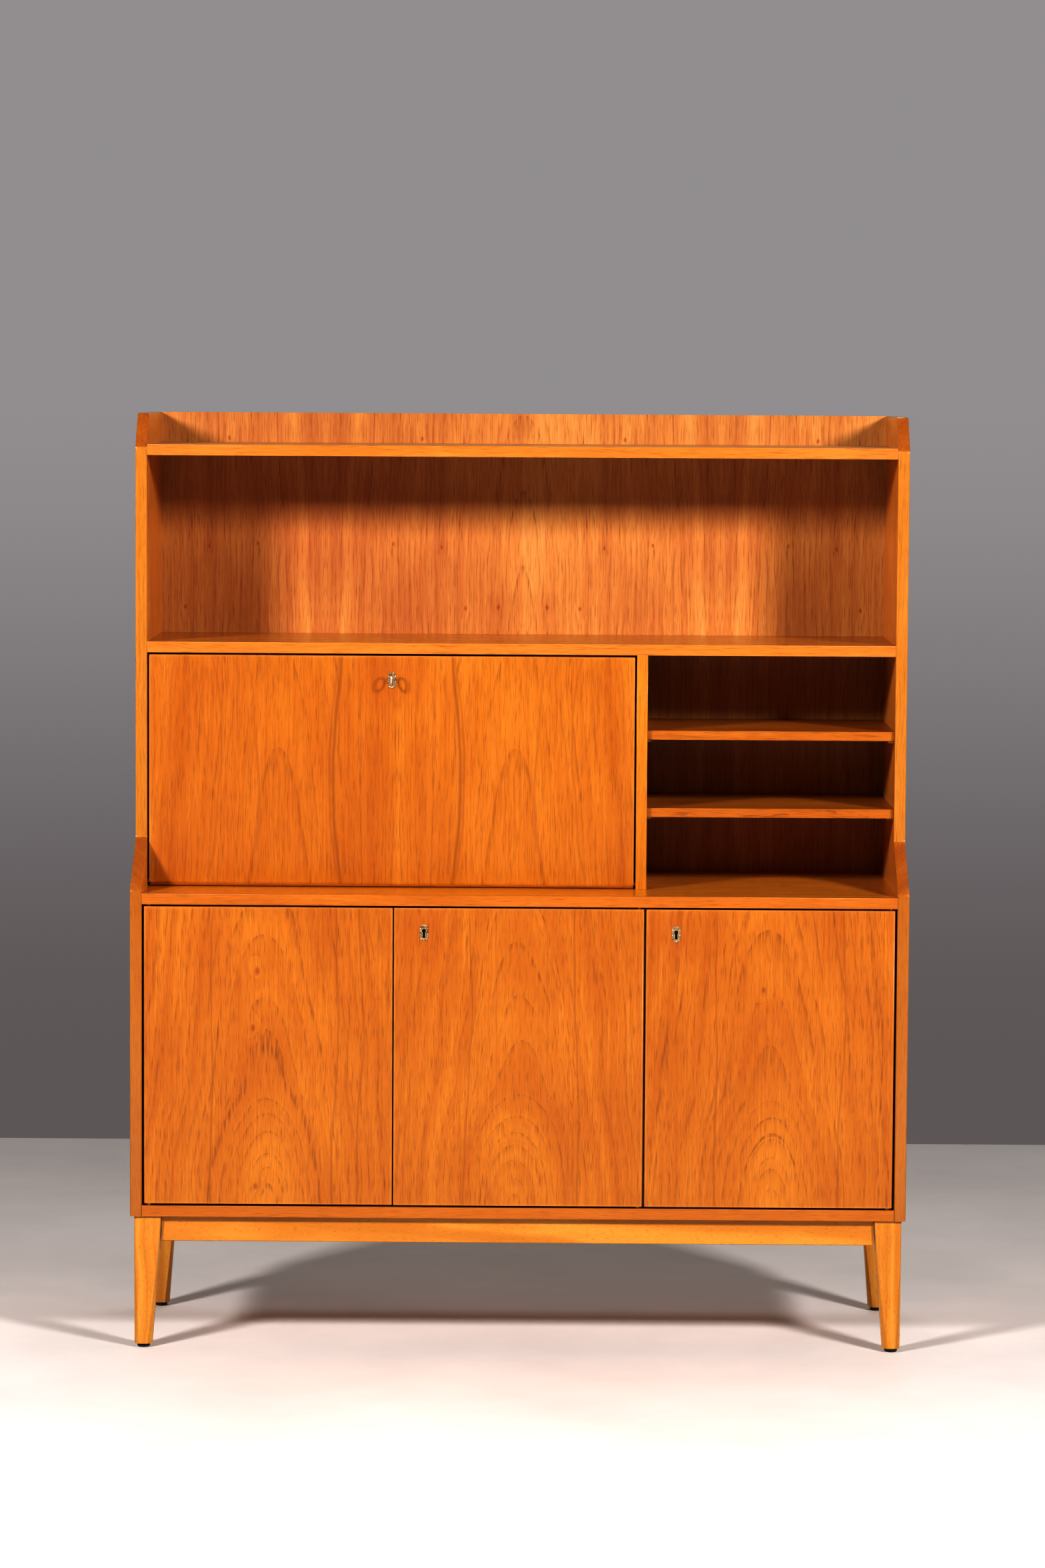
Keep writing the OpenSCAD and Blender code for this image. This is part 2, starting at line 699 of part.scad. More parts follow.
module worktop() {
    color(teak) difference() {
        box([-inner_x, front_y, worktop_z0], [inner_x, inner_back_y, worktop_z1]);
        end_dowels(-inner_x, worktop_z0 + board_t / 2, lower_dowel_ys, 1, run_fit);
        end_dowels(inner_x, worktop_z0 + board_t / 2, lower_dowel_ys, -1, run_fit);
        divider_dowels(run_fit);
        partition_dowels(run_fit);
        worktop_screws(run_fit);
        socket_seats(worktop_z0);
        slide_mortise(worktop_z0 - 1);
    }
}

module bottom_board() {
    color(teak) difference() {
        box([-inner_x, front_y, base_h], [inner_x, inner_back_y, bottom_z1]);
        end_dowels(-inner_x, base_h + board_t / 2, lower_dowel_ys, 1, run_fit);
        end_dowels(inner_x, base_h + board_t / 2, lower_dowel_ys, -1, run_fit);
        partition_dowels(run_fit);
        bottom_screws(run_fit);
        block_screws(run_fit);
        socket_seats(bottom_z1 - leaf_t);
        slide_mortise(bottom_z1 - bolt_travel);
    }
}

module upper_divider() {
    color(teak) difference() {
        box([divider_x0, upper_y, worktop_z1], [divider_x1, inner_back_y, middle_z0]);
        divider_dowels(run_fit);
        desk_shelf_right_dowels(run_fit);
        open_pegs(run_fit);
        translate([2 * flap_mid_x, 0, 0]) mirror([1, 0, 0]) one_stud(run_fit);
        translate([2 * flap_mid_x, 0, 0]) mirror([1, 0, 0]) flap_socket_place() leaf(leaf_t);
    }
}

module cupboard_partition() {
    color(teak) difference() {
        box([partition_x0, partition_y0, bottom_z1], [partition_x1, inner_back_y, worktop_z0]);
        partition_dowels(run_fit);
        cupboard_pegs(run_fit);
        door_plate_seat();
        door_mortise(1);
    }
}

module back_upper() {
    color(ply) difference() {
        x = inner_x + side_t / 2;
        box([-x, inner_back_y, (worktop_z0 + worktop_z1) / 2], [x, back_y, desk_h]);
        top_screws(run_fit);
        middle_screws(run_fit);
        back_screw_row(upper_row_z, run_fit);
    }
}

module back_lower() {
    color(ply) difference() {
        x = inner_x + side_t / 2;
        box([-x, inner_back_y, base_h], [x, back_y, (worktop_z0 + worktop_z1) / 2]);
        back_screw_row(lower_row_z, run_fit);
        bottom_screws(run_fit);
    }
}

module loose_shelf(xs, y0, z0, t) {
    box([xs[0] + shelf_play, y0, z0], [xs[1] - shelf_play, inner_back_y - 1, z0 + t]);
}

module open_shelf_upper() {
    color(teak_dark) loose_shelf([divider_x1, inner_x], open_shelf_y0, open_upper_z0, thin_t);
}

module open_shelf_lower() {
    color(teak_dark) loose_shelf([divider_x1, inner_x], open_shelf_y0, open_lower_z0, thin_t);
}

module cupboard_shelf_left() {
    color(teak_dark) loose_shelf([-inner_x, partition_x0], cupboard_shelf_y0, cupboard_left_z0, board_t);
}

module cupboard_shelf_right() {
    color(teak_dark) loose_shelf([partition_x1, inner_x], cupboard_shelf_y0, cupboard_right_z0, board_t);
}

module desk_shelf() {
    color(teak_dark) difference() {
        box([bay_x[0], desk_shelf_y0, desk_shelf_z0], [bay_x[1], inner_back_y, desk_shelf_z0 + thin_t]);
        end_dowels(-inner_x, desk_shelf_z0 + thin_t / 2, desk_dowel_ys(), 1, run_fit);
        desk_shelf_right_dowels(run_fit);
    }
}

module desk_uprights() {
    pitch = (bay_x[1] - bay_x[0] - upright_count * upright_t) / (upright_count + 1) + upright_t;
    color(teak_dark) for (i = [1:upright_count]) {
        x = bay_x[0] + i * pitch;
        box([x - upright_t, desk_shelf_y0 + 3, desk_shelf_z0 + thin_t], [x, inner_back_y, middle_z0]);
    }
}

module shelf_pins() {
    color(brass) {
        open_pegs();
        cupboard_pegs();
    }
}

module carcass_dowels() {
    color(beech) {
        left_end_dowels();
        right_end_dowels();
        desk_shelf_right_dowels();
        divider_dowels();
        partition_dowels();
    }
}

module carcass_screws() {
    color(steel) {
        top_screws();
        middle_screws();
        worktop_screws();
        bottom_screws();
        block_screws();
    }
}

// ---- leg frame ----

module leg_front_left() { color(beech) translate([leg_x0, leg_y0, 0]) leg(); }
module leg_front_right() { color(beech) mirror([1, 0, 0]) translate([leg_x0, leg_y0, 0]) leg(); }
module leg_rear_left() {
    color(beech) translate([leg_x0, rear_leg_y1, 0]) mirror([0, 1, 0]) leg();
}
module leg_rear_right() {
    color(beech) mirror([1, 0, 0]) translate([leg_x0, rear_leg_y1, 0]) mirror([0, 1, 0]) leg();
}
module rail_front() { color(beech) rail_along_x(rail_front_y0); }
module rail_rear() { color(beech) rail_along_x(rail_rear_y0); }
module rail_left() { color(beech) rail_along_y(); }
module rail_right() { color(beech) mirror([1, 0, 0]) rail_along_y(); }

module rail_blocks() {
    z = base_h - block[2];
    color(beech) difference() {
        union() {
            for (x = block_xs, y = [rail_front_y0 + rail_t, rail_rear_y0 - block[1]])
                translate([x - block[0] / 2, y, z]) cube(block);
            for (x = [rail_side_x0 + rail_t, -rail_side_x0 - rail_t - block[1]])
                translate([x, -block[0] / 2, z]) cube([block[1], block[0], block[2]]);
        }
        block_screws(run_fit);
    }
}

module glides() {
    x = -leg_x0 - foot_w / 2;
    edge = 1.5;
    color(plastic) for (sx = [-1, 1], y = [leg_y0 + foot_w / 2, rear_leg_y1 - foot_w / 2])
        translate([sx * x, y, 0]) {
            cylinder(r1 = glide_d / 2 - edge, r2 = glide_d / 2, h = edge);
            translate([0, 0, edge]) cylinder(r = glide_d / 2, h = glide_h - edge);
            cylinder(r = 2, h = glide_h + 14);
        }
}

// Small blocks that the doors and the flap close against
module stop_blocks() {
    color(teak_dark) {
        for (x = [door_1_x[1] - 100, door_2_x[0] + 100, door_3_x[0] + 100])
            box([x - 10, door_y1 + pass_gap, worktop_z0 - 12], [x + 10, door_y1 + 12, worktop_z0]);
        for (x = [flap_x0 + 90, flap_x1 - 90])
            box([x - 10, flap_y1 + pass_gap, middle_z0 - 12], [x + 10, flap_y1 + 12, middle_z0]);
    }
}

module door_pivot_sockets() {
    color(brass) {
        socket_pair(pivot_1_x, 1);
        socket_pair(pivot_2_x, -1);
        socket_pair(pivot_3_x, -1);
    }
}

module flap_pivot_sockets() {
    color(brass) both_ends() flap_socket_place() socket_leaf();
}

module strike_plates() {
    color(brass) {
        difference() {
            flap_plate_seat();
            flap_mortise(1);
        }
        difference() {
            door_plate_seat();
            door_mortise(1);
        }
    }
}

module stay_studs() { color(brass) both_ends() one_stud(); }

// ---- flap ----

module flap_panel() {
    color(teak) difference() {
        union() {
            box([flap_x0, flap_y0, flap_pivot_z], [flap_x1, flap_y1, flap_z1]);
            rod_x([flap_x0, flap_pivot_y, flap_pivot_z], door_t / 2, flap_x1 - flap_x0);
        }
        both_ends() flap_leaf_place() translate([0, 0, -leaf_t]) leaf(leaf_t + 1);
        keyhole(flap_mid_x, flap_key_z, flap_y0 - 1, flap_y1 + 1);
    }
}

module flap_pivots() { color(brass) both_ends() flap_leaf_place() pin_leaf(); }
module flap_escutcheon() { color(brass) escutcheon(flap_mid_x, flap_key_z, flap_y0); }
module flap_lock_case() { color(steel) on_flap() lock_case(keyhole_drop); }
module flap_lock_bolt() { color(brass) on_flap() lock_bolt(); }
module stay_brackets() { color(brass) both_ends() one_bracket(); }

module flap_key() {
    shaft_r = 2.2;
    bow_y = flap_y0 - 22;
    color(steel) translate([flap_mid_x, 0, flap_key_z]) {
        rod_y([0, bow_y + 8.6, 0], shaft_r, flap_y1 - bow_y - 8.6 + bolt_v0 + bolt_t);
        rod_y([0, flap_y1 + 2, 0], key_tip_r, case_t - 2.5);
        rod_y([0, flap_y0 - 8, 0], 3.2, 2);
        box([-1, flap_y1 + 2, -7.5], [1, flap_y1 + 11, -1]);
        translate([0, bow_y, 0]) rotate([0, 90, 0]) rotate_extrude() translate([9.5, 0]) circle(r = 1.6);
    }
}

module stay_left() {
    color(brass) translate([arm_x, stay_pin_y, stay_pin_z]) stay_arm();
}

module stay_right() {
    color(brass) translate([2 * flap_mid_x, 0, 0]) mirror([1, 0, 0])
        translate([arm_x, stay_pin_y, stay_pin_z]) stay_arm();
}

// ---- doors ----

module door_1_panel() { color(teak) door_panel(door_1_x, 1, false); }
module door_2_panel() { color(teak) door_panel(door_2_x, -1, true); }
module door_3_panel() { color(teak) door_panel(door_3_x, -1, true); }
module door_1_pivots() { color(brass) door_pivots(pivot_1_x, 1); }
module door_2_pivots() { color(brass) door_pivots(pivot_2_x, -1); }
module door_3_pivots() { color(brass) door_pivots(pivot_3_x, -1); }
module door_2_escutcheon() { color(brass) escutcheon(door_2_x[0] + backset, door_key_z, door_y0); }
module door_3_escutcheon() { color(brass) escutcheon(door_3_x[0] + backset, door_key_z, door_y0); }

module door_2_lock_case() {
    color(steel) on_door(door_2_x[0] + case_step_2, door_key_z) lock_case(backset - case_step_2);
}

module door_2_lock_bolt() { color(brass) on_door(door_2_x[0] + case_step_2, door_key_z) lock_bolt(); }

module door_3_lock_case() {
    color(steel) on_door(door_3_x[0] + case_step_3, door_key_z) lock_case(backset - case_step_3);
}

module door_3_lock_bolt() { color(brass) on_door(door_3_x[0] + case_step_3, door_key_z) lock_bolt(); }

// Block behind door 1's edge that door 2's bolt passes behind
module door_1_strike_block() {
    x = door_1_x[1] - 2;
    color(teak_dark) box([x - 28, door_y1, door_key_z - 30], [x, door_y1 + bolt_v0 - 0.5, door_key_z + 30]);
}

// Slide bolt at door 1's top edge; the lower one is its mirror image
module at_both_edges() {
    children();
    translate([0, 0, door_z0 + door_z1]) mirror([0, 0, 1]) children();
}

module slide_body_shape() {
    z1 = door_z1 - slide_tip - 4;
    difference() {
        translate([slide_x - slide_body[0] / 2, door_y1, z1 - slide_body[2]]) cube(slide_body);
        translate([slide_x, slide_y, z1 - slide_body[2] - 1])
            cylinder(r = slide_rod_r + run_fit, h = slide_body[2] + 2);
    }
}

module slide_rod_shape() {
    z1 = door_z1 - slide_tip;
    len = slide_body[2] + 28;
    translate([slide_x, slide_y, z1 - len]) cylinder(r = slide_rod_r, h = len);
    rod_y([slide_x, slide_y, z1 - len + 5], 2.5, 14);
}

module door_1_bolt_bodies() { color(brass) at_both_edges() slide_body_shape(); }
module door_1_top_bolt() { color(brass) slide_rod_shape(); }
module door_1_bottom_bolt() {
    color(brass) translate([0, 0, door_z0 + door_z1]) mirror([0, 0, 1]) slide_rod_shape();
}

side_left();
side_right();
top_shelf();
middle_shelf();
worktop();
bottom_board();
upper_divider();
cupboard_partition();
back_upper();
back_lower();
open_shelf_upper();
open_shelf_lower();
cupboard_shelf_left();
cupboard_shelf_right();
desk_shelf();
desk_uprights();
shelf_pins();
carcass_dowels();
carcass_screws();
leg_front_left();
leg_front_right();
leg_rear_left();
leg_rear_right();
rail_front();
rail_rear();
rail_left();
rail_right();
rail_blocks();
glides();
stop_blocks();
door_pivot_sockets();
flap_pivot_sockets();
strike_plates();
stay_studs();
flap_panel();
flap_pivots();
flap_escutcheon();
flap_lock_case();
stay_brackets();
flap_key();
flap_lock_bolt();
stay_left();
stay_right();
door_1_panel();
door_1_pivots();
door_1_strike_block();
door_1_bolt_bodies();
door_1_top_bolt();
door_1_bottom_bolt();
door_2_panel();
door_2_pivots();
door_2_escutcheon();
door_2_lock_case();
door_2_lock_bolt();
door_3_panel();
door_3_pivots();
door_3_escutcheon();
door_3_lock_case();
door_3_lock_bolt();
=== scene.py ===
import math
import bmesh
import bpy
from mathutils import Matrix, Quaternion, Vector


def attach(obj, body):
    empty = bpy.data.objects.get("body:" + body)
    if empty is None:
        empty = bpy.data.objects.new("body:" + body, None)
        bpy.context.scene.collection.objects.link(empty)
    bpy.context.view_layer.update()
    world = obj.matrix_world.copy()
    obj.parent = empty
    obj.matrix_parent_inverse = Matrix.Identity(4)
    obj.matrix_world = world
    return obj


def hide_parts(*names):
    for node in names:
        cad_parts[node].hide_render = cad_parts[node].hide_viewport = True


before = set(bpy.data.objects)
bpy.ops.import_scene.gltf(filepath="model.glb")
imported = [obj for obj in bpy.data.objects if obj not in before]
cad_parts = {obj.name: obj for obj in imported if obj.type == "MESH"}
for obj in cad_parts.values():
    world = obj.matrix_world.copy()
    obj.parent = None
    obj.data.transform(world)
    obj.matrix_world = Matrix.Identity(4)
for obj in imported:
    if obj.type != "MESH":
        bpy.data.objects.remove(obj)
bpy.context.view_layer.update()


# ---- Camera ----
# A long lens at head height, about seven metres in front, looking slightly down.
eye = bpy.data.cameras.new("eye")
eye.lens = 110.7
eye.sensor_width = 36.0
eye.clip_end = 60.0
camera = bpy.data.objects.new("camera", eye)
bpy.context.scene.collection.objects.link(camera)
yaw, pitch, roll = -0.00559, 0.08367, 0.00596
aim = Vector((math.sin(yaw) * math.cos(pitch), math.cos(yaw) * math.cos(pitch), -math.sin(pitch)))
camera.location = (0.0448, -7.576, 1.5009)
camera.rotation_mode = "QUATERNION"
camera.rotation_quaternion = aim.to_track_quat("-Z", "Y") @ Quaternion((0, 0, 1), roll)
bpy.context.scene.camera = camera
# A hard tone curve: whites burn out early and shadows close up
bpy.context.scene.view_settings.view_transform = "Standard"
bpy.context.scene.view_settings.gamma = 0.62


# ---- Carcass sides ----
# Two 18 mm boards, faced with teak veneer that runs upwards, with 4 mm solid teak lippings
# round their edges. The front edge steps back over the worktop, and the top corner is cut off.
MM = 0.001


def paint(code):
    """An sRGB hex colour as linear RGBA."""
    parts = [int(code[i:i + 2], 16) / 255 for i in (1, 3, 5)]
    return (*[c / 12.92 if c <= 0.04045 else ((c + 0.055) / 1.055) ** 2.4 for c in parts], 1.0)


def add(tree, kind, settings=None, **links):
    """One node with its settings; links are values or other nodes, by socket name or _index."""
    node = tree.nodes.new("ShaderNode" + kind)
    for name, value in (settings or {}).items():
        setattr(node, name, value)
    for name, value in links.items():
        socket = node.inputs[int(name[1:])] if name[0] == "_" else node.inputs[name.replace("_", " ")]
        if isinstance(value, bpy.types.Node):
            value = next(o for o in value.outputs if o.enabled)
        if isinstance(value, bpy.types.NodeSocket):
            tree.links.new(value, socket)
        else:
            socket.default_value = value
    return node


def new_material(name):
    """An empty material and its node tree."""
    material = bpy.data.materials.new(name)
    material.use_nodes = True
    material.node_tree.nodes.clear()
    return material, material.node_tree


def wood_figure(tree, order, middle, leaf, arch, heart, rise, turn, knots, seed):
    """The figure of sliced timber. order names the axes across, through and along the grain.
    The growth rings are nested cones about the heart, so their cut lines are tall arches."""
    xyz = add(tree, "SeparateXYZ", _0=add(tree, "TexCoord").outputs["Object"])
    across, through, along = [xyz.outputs["xyz".index(c)] for c in order]
    off = add(tree, "Math", {"operation": "SUBTRACT"}, _0=across, _1=middle)
    # Which side of the middle a point lies on, for the painted sheen of one bookmatch leaf
    side = add(tree, "Math", {"operation": "GREATER_THAN"}, _0=off, _1=0.0)
    if leaf:
        off = add(tree, "Math", {"operation": "PINGPONG"},
                  _0=add(tree, "Math", {"operation": "ABSOLUTE"}, _0=off), _1=leaf)
        off = add(tree, "Math", {"operation": "SUBTRACT"}, _0=off, _1=arch)
    place = add(tree, "CombineXYZ", _0=off, _1=through,
                _2=add(tree, "Math", {"operation": "ADD"}, _0=along, _1=seed))
    # The trunk wanders by several millimetres over a hand's breadth, and by half a one over a finger's
    slow = add(tree, "TexNoise", None, Scale=1.0, Detail=1.0,
               Vector=add(tree, "VectorMath", {"operation": "MULTIPLY"}, _0=place, _1=(7.0, 7.0, 3.2)))
    quick = add(tree, "TexNoise", None, Scale=1.0, Detail=2.0,
                Vector=add(tree, "VectorMath", {"operation": "MULTIPLY"}, _0=place, _1=(60.0, 60.0, 16.0)))
    sway = add(tree, "Math", {"operation": "MULTIPLY_ADD"}, _0=slow, _1=0.045, _2=off)
    sway = add(tree, "Math", {"operation": "MULTIPLY_ADD"}, _0=quick, _1=0.006, _2=sway)
    sway = add(tree, "Math", {"operation": "SUBTRACT"}, _0=sway, _1=0.0255)
    # The heart of the trunk leans out of the cut: depth is how far behind it the heart lies
    up = add(tree, "Math", {"operation": "SUBTRACT"}, _0=along, _1=turn)
    low = add(tree, "Math", {"operation": "MINIMUM"}, _0=up, _1=0.0)
    depth = add(tree, "Math", {"operation": "SUBTRACT"}, _0=through, _1=heart)
    depth = add(tree, "Math", {"operation": "MULTIPLY_ADD"}, _0=up, _1=rise[1], _2=depth)
    depth = add(tree, "Math", {"operation": "MULTIPLY_ADD"}, _0=low, _1=rise[0] - rise[1], _2=depth)
    field = add(tree, "VectorMath", {"operation": "LENGTH"},
                _0=add(tree, "CombineXYZ", _0=sway, _1=depth)).outputs["Value"]
    core = None
    for at, height, size in knots:
        reach = add(tree, "VectorMath", {"operation": "LENGTH"}, _0=add(
            tree, "CombineXYZ", _0=add(tree, "Math", {"operation": "SUBTRACT"}, _0=off, _1=at),
            _1=add(tree, "Math", {"operation": "MULTIPLY_ADD"}, _0=along, _1=0.6, _2=-0.6 * height)))
        swell = add(tree, "MapRange", {"interpolation_type": "SMOOTHSTEP"}, _0=reach.outputs["Value"],
                    _1=0.0, _2=size * 7, _3=size * 3, _4=0.0)
        field = add(tree, "Math", {"operation": "ADD"}, _0=field, _1=swell)
        spot = add(tree, "MapRange", {"interpolation_type": "SMOOTHSTEP"}, _0=reach.outputs["Value"],
                   _1=size * 0.4, _2=size * 1.6, _3=0.6, _4=0.0)
        core = add(tree, "Math", {"operation": "MAXIMUM"}, _0=spot, _1=core if core else 0.0)
    return {"place": place, "field": field, "side": side, "sway": sway, "knot": core, "across": across,
            "along": along, "up": up}


def teak(name, order="xyz", middle=0.0, leaf=0.0, arch=0.0, heart=-0.19, rise=(0.5, 0.12), turn=0.3, knots=(),
         seed=0.0, tones=("#AB661C", "#B77624", "#C1842E"), pore="#7E4416", handled=None, panel=None,
         ring=0.011, lines=(), figure=1.0, rough=(0.27, 0.38)):
    """Sliced teak, rubbed down and finished with a thin satin lacquer. It shows warm orange brown
    with darker ring lines and fine dark vessels, and a soft sheen that breaks along the grain."""
    material, tree = new_material(name)
    cut = wood_figure(tree, order, middle, leaf, arch, heart, rise, turn, knots, seed)
    field, place = cut["field"], cut["place"]
    # Broad bands 25 to 40 mm wide follow the rings, streaks are 3 mm by 200 mm, clouds a hand's breadth
    bands = add(tree, "TexNoise", {"noise_dimensions": "1D"}, Scale=1.0, Detail=3.0, Roughness=0.6,
                W=add(tree, "Math", {"operation": "MULTIPLY_ADD"}, _0=field, _1=38.0, _2=seed * 7.0))
    streaks = add(tree, "TexNoise", None, Scale=1.0, Detail=2.0,
                  Vector=add(tree, "VectorMath", {"operation": "MULTIPLY"}, _0=place, _1=(330.0, 330.0, 5.0)))
    clouds = add(tree, "TexNoise", None, Scale=1.0, Detail=2.0,
                 Vector=add(tree, "VectorMath", {"operation": "MULTIPLY"}, _0=place, _1=(11.0, 11.0, 5.0)))
    tone = add(tree, "Math", {"operation": "MULTIPLY_ADD"}, _0=bands, _1=0.8 * figure,
               _2=-0.05 - 0.4 * figure)
    tone = add(tree, "Math", {"operation": "MULTIPLY_ADD"}, _0=streaks, _1=0.50 * figure, _2=tone)
    tone = add(tree, "Math", {"operation": "MULTIPLY_ADD"}, _0=clouds, _1=0.8, _2=tone)
    # The wood is paler towards the heart
    tone = add(tree, "Math", {"operation": "MULTIPLY_ADD"}, _0=add(
        tree, "Math", {"operation": "MINIMUM"}, _0=field, _1=0.16), _1=-1.6, _2=tone)
    # The two leaves of a bookmatch show opposite faces; one is painted lighter, a painted sheen for how its
    # face catches the light
    tone = add(tree, "Math", {"operation": "MULTIPLY_ADD"}, _0=cut["side"], _1=0.16 if leaf else 0.0, _2=tone)
    low = add(tree, "MapRange", None, _0=tone, _1=0.15, _2=0.55)
    high = add(tree, "MapRange", None, _0=tone, _1=0.50, _2=0.90)
    colour = add(tree, "Mix", {"data_type": "RGBA"}, _0=low, _6=paint(tones[0]), _7=paint(tones[1]))
    colour = add(tree, "Mix", {"data_type": "RGBA"}, _0=high, _6=colour, _7=paint(tones[2]))
    # Each growth ring starts with a sharp row of dark vessels that fades out towards the next
    wave = add(tree, "Math", {"operation": "FRACT"}, _0=add(
        tree, "Math", {"operation": "MULTIPLY_ADD"}, _0=bands, _1=2.4,
        _2=add(tree, "Math", {"operation": "DIVIDE"}, _0=field, _1=ring)))
    row = add(tree, "Math", {"operation": "POWER"}, _0=wave, _1=7.0)
    broken = add(tree, "TexNoise", None, Scale=1.0, Detail=1.0,
                 Vector=add(tree, "VectorMath", {"operation": "MULTIPLY"}, _0=place, _1=(330.0, 330.0, 28.0)))
    gaps = add(tree, "MapRange", None, _0=broken, _1=0.40, _2=0.62)
    row = add(tree, "Math", {"operation": "MULTIPLY"}, _0=row, _1=gaps)
    # Vessels are 0.3 mm wide; they are drawn 1 mm wide and 20 mm long so that they show
    vessels = add(tree, "TexNoise", None, Scale=1.0, Detail=1.0,
                  Vector=add(tree, "VectorMath", {"operation": "MULTIPLY"}, _0=place,
                             _1=(950.0, 950.0, 38.0)))
    vessels = add(tree, "MapRange", None, _0=vessels, _1=0.52, _2=0.70)
    dark = add(tree, "Math", {"operation": "MULTIPLY_ADD", "use_clamp": True}, _0=row, _1=0.60 * figure,
               _2=add(tree, "Math", {"operation": "MULTIPLY"}, _0=vessels, _1=0.50 * figure))
    for at, width, strength, bow in lines:
        # A single dark line where one summer was short, bowed along its length
        bend = add(tree, "Math", {"operation": "MULTIPLY"}, _0=cut["up"], _1=cut["up"])
        bend = add(tree, "Math", {"operation": "MULTIPLY_ADD"}, _0=bend, _1=bow, _2=at)
        away = add(tree, "Math", {"operation": "ABSOLUTE"},
                   _0=add(tree, "Math", {"operation": "SUBTRACT"}, _0=cut["sway"], _1=bend))
        line = add(tree, "MapRange", {"interpolation_type": "SMOOTHSTEP"}, _0=away, _1=0.0, _2=width,
                   _3=strength, _4=0.0)
        dark = add(tree, "Math", {"operation": "MAXIMUM"}, _0=dark, _1=line)
    colour = add(tree, "Mix", {"data_type": "RGBA"}, _0=dark, _6=colour, _7=paint(pore))
    if cut["knot"]:
        colour = add(tree, "Mix", {"data_type": "RGBA"}, _0=cut["knot"], _6=colour, _7=paint("#8A3A1A"))
    if handled:
        # Years of hands have darkened the wood round the keyhole
        reach = add(tree, "VectorMath", {"operation": "LENGTH"}, _0=add(
            tree, "CombineXYZ", _0=add(tree, "Math", {"operation": "SUBTRACT"}, _0=cut["across"],
                                       _1=handled[0]),
            _1=add(tree, "Math", {"operation": "SUBTRACT"}, _0=cut["along"], _1=handled[1])))
        grime = add(tree, "MapRange", {"interpolation_type": "SMOOTHSTEP"}, _0=reach.outputs["Value"],
                    _1=0.005, _2=0.075, _3=0.55, _4=0.0)
        grime = add(tree, "Math", {"operation": "MULTIPLY"}, _0=grime, _1=clouds)
        colour = add(tree, "Mix", {"data_type": "RGBA"}, _0=grime, _6=colour, _7=paint("#9E4C14"))
    sheen = add(tree, "MapRange", None, _0=streaks, _1=0.3, _2=0.7, _3=rough[0], _4=rough[1])
    if panel:
        # Paler over the last 3 mm before an edge: the lacquer is rubbed thin there, and a painted highlight
        # stands in for the light the edges catch
        half = [(b - a) / 2 for a, b in zip(*panel)]
        mid = [(a + b) / 2 for a, b in zip(*panel)]
        gap = add(tree, "VectorMath", {"operation": "ABSOLUTE"}, _0=add(
            tree, "VectorMath", {"operation": "SUBTRACT"}, _0=add(tree, "TexCoord").outputs["Object"],
            _1=mid))
        gap = add(tree, "SeparateXYZ", _0=add(tree, "VectorMath", {"operation": "SUBTRACT"}, _0=gap, _1=half))
        edge = add(tree, "Math", {"operation": "MAXIMUM"},
                   _0=gap.outputs["xyz".index(order[0])], _1=gap.outputs["xyz".index(order[2])])
        edge = add(tree, "Math", {"operation": "MULTIPLY_ADD"}, _0=clouds, _1=0.004, _2=edge)
        edge_wear_and_highlight = add(tree, "MapRange", {"interpolation_type": "SMOOTHSTEP"}, _0=edge, _1=-0.0025, _2=0.0022,
                  _3=0.0, _4=0.3)
        colour = add(tree, "Mix", {"data_type": "RGBA"}, _0=edge_wear_and_highlight, _6=colour, _7=paint("#CC9450"))
    relief = add(tree, "Bump", {"invert": True}, Strength=0.25, Distance=0.0002, Height=dark)
    shader = add(tree, "BsdfPrincipled", None, Base_Color=colour, Roughness=sheen, Normal=relief, IOR=1.5)
    add(tree, "OutputMaterial", None, Surface=shader)
    return material


def make_piece(name, bm, materials, body, slot, *nodes):
    """Turns a finished bmesh into a piece that rides on a body and stands for CAD nodes."""
    bmesh.ops.recalc_face_normals(bm, faces=bm.faces[:])
    mesh = bpy.data.meshes.new(name)
    bm.to_mesh(mesh)
    bm.free()
    for material in materials:
        mesh.materials.append(material)
    piece = bpy.data.objects.new(name, mesh)
    bpy.context.scene.collection.objects.link(piece)
    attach(piece, body)
    if nodes:
        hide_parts(*nodes)
    return piece


def shade(bm):
    """Flat faces keep their own normal; only the narrow faces of roundings are smooth."""
    bm.normal_update()
    for face in bm.faces:
        face.smooth = max(abs(c) for c in face.normal) < 0.999 and face.calc_area() < 1.5e-3


def soften(bm, edges, width, segments=3):
    """Rounds edges as a plane and sandpaper do."""
    bmesh.ops.bevel(bm, geom=edges, offset=width, offset_type="OFFSET", segments=segments,
                    profile=0.5, affect="EDGES", clamp_overlap=True, material=-1)


def pull(bm, faces, by):
    """Extrudes faces and moves what is new by a vector; gives the new parts."""
    made = bmesh.ops.extrude_face_region(bm, geom=faces)["geom"]
    bmesh.ops.translate(bm, vec=by, verts=[g for g in made if isinstance(g, bmesh.types.BMVert)])
    return made


def sink(bm, axis, level, low, high, depth):
    """Sinks the rectangle low..high by depth into the flat face that lies at level on axis."""
    across = [k for k in range(3) if k != axis]
    flat = lambda: [f for f in bm.faces if all(abs(v.co[axis] - level) < 1e-6 for v in f.verts)]
    for k in across:
        for bound in (low[k], high[k]):
            faces = flat()
            near = set(faces) | {e for f in faces for e in f.edges} | {v for f in faces for v in f.verts}
            normal = Vector([1.0 if i == k else 0.0 for i in range(3)])
            bmesh.ops.bisect_plane(bm, geom=list(near), dist=1e-7, plane_co=normal * bound, plane_no=normal)
    floor = [f for f in flat() if all(low[k] < f.calc_center_median()[k] < high[k] for k in across)]
    pull(bm, floor, Vector([depth if i == axis else 0.0 for i in range(3)]))
    bmesh.ops.delete(bm, geom=[f for f in floor if f.is_valid], context="FACES")


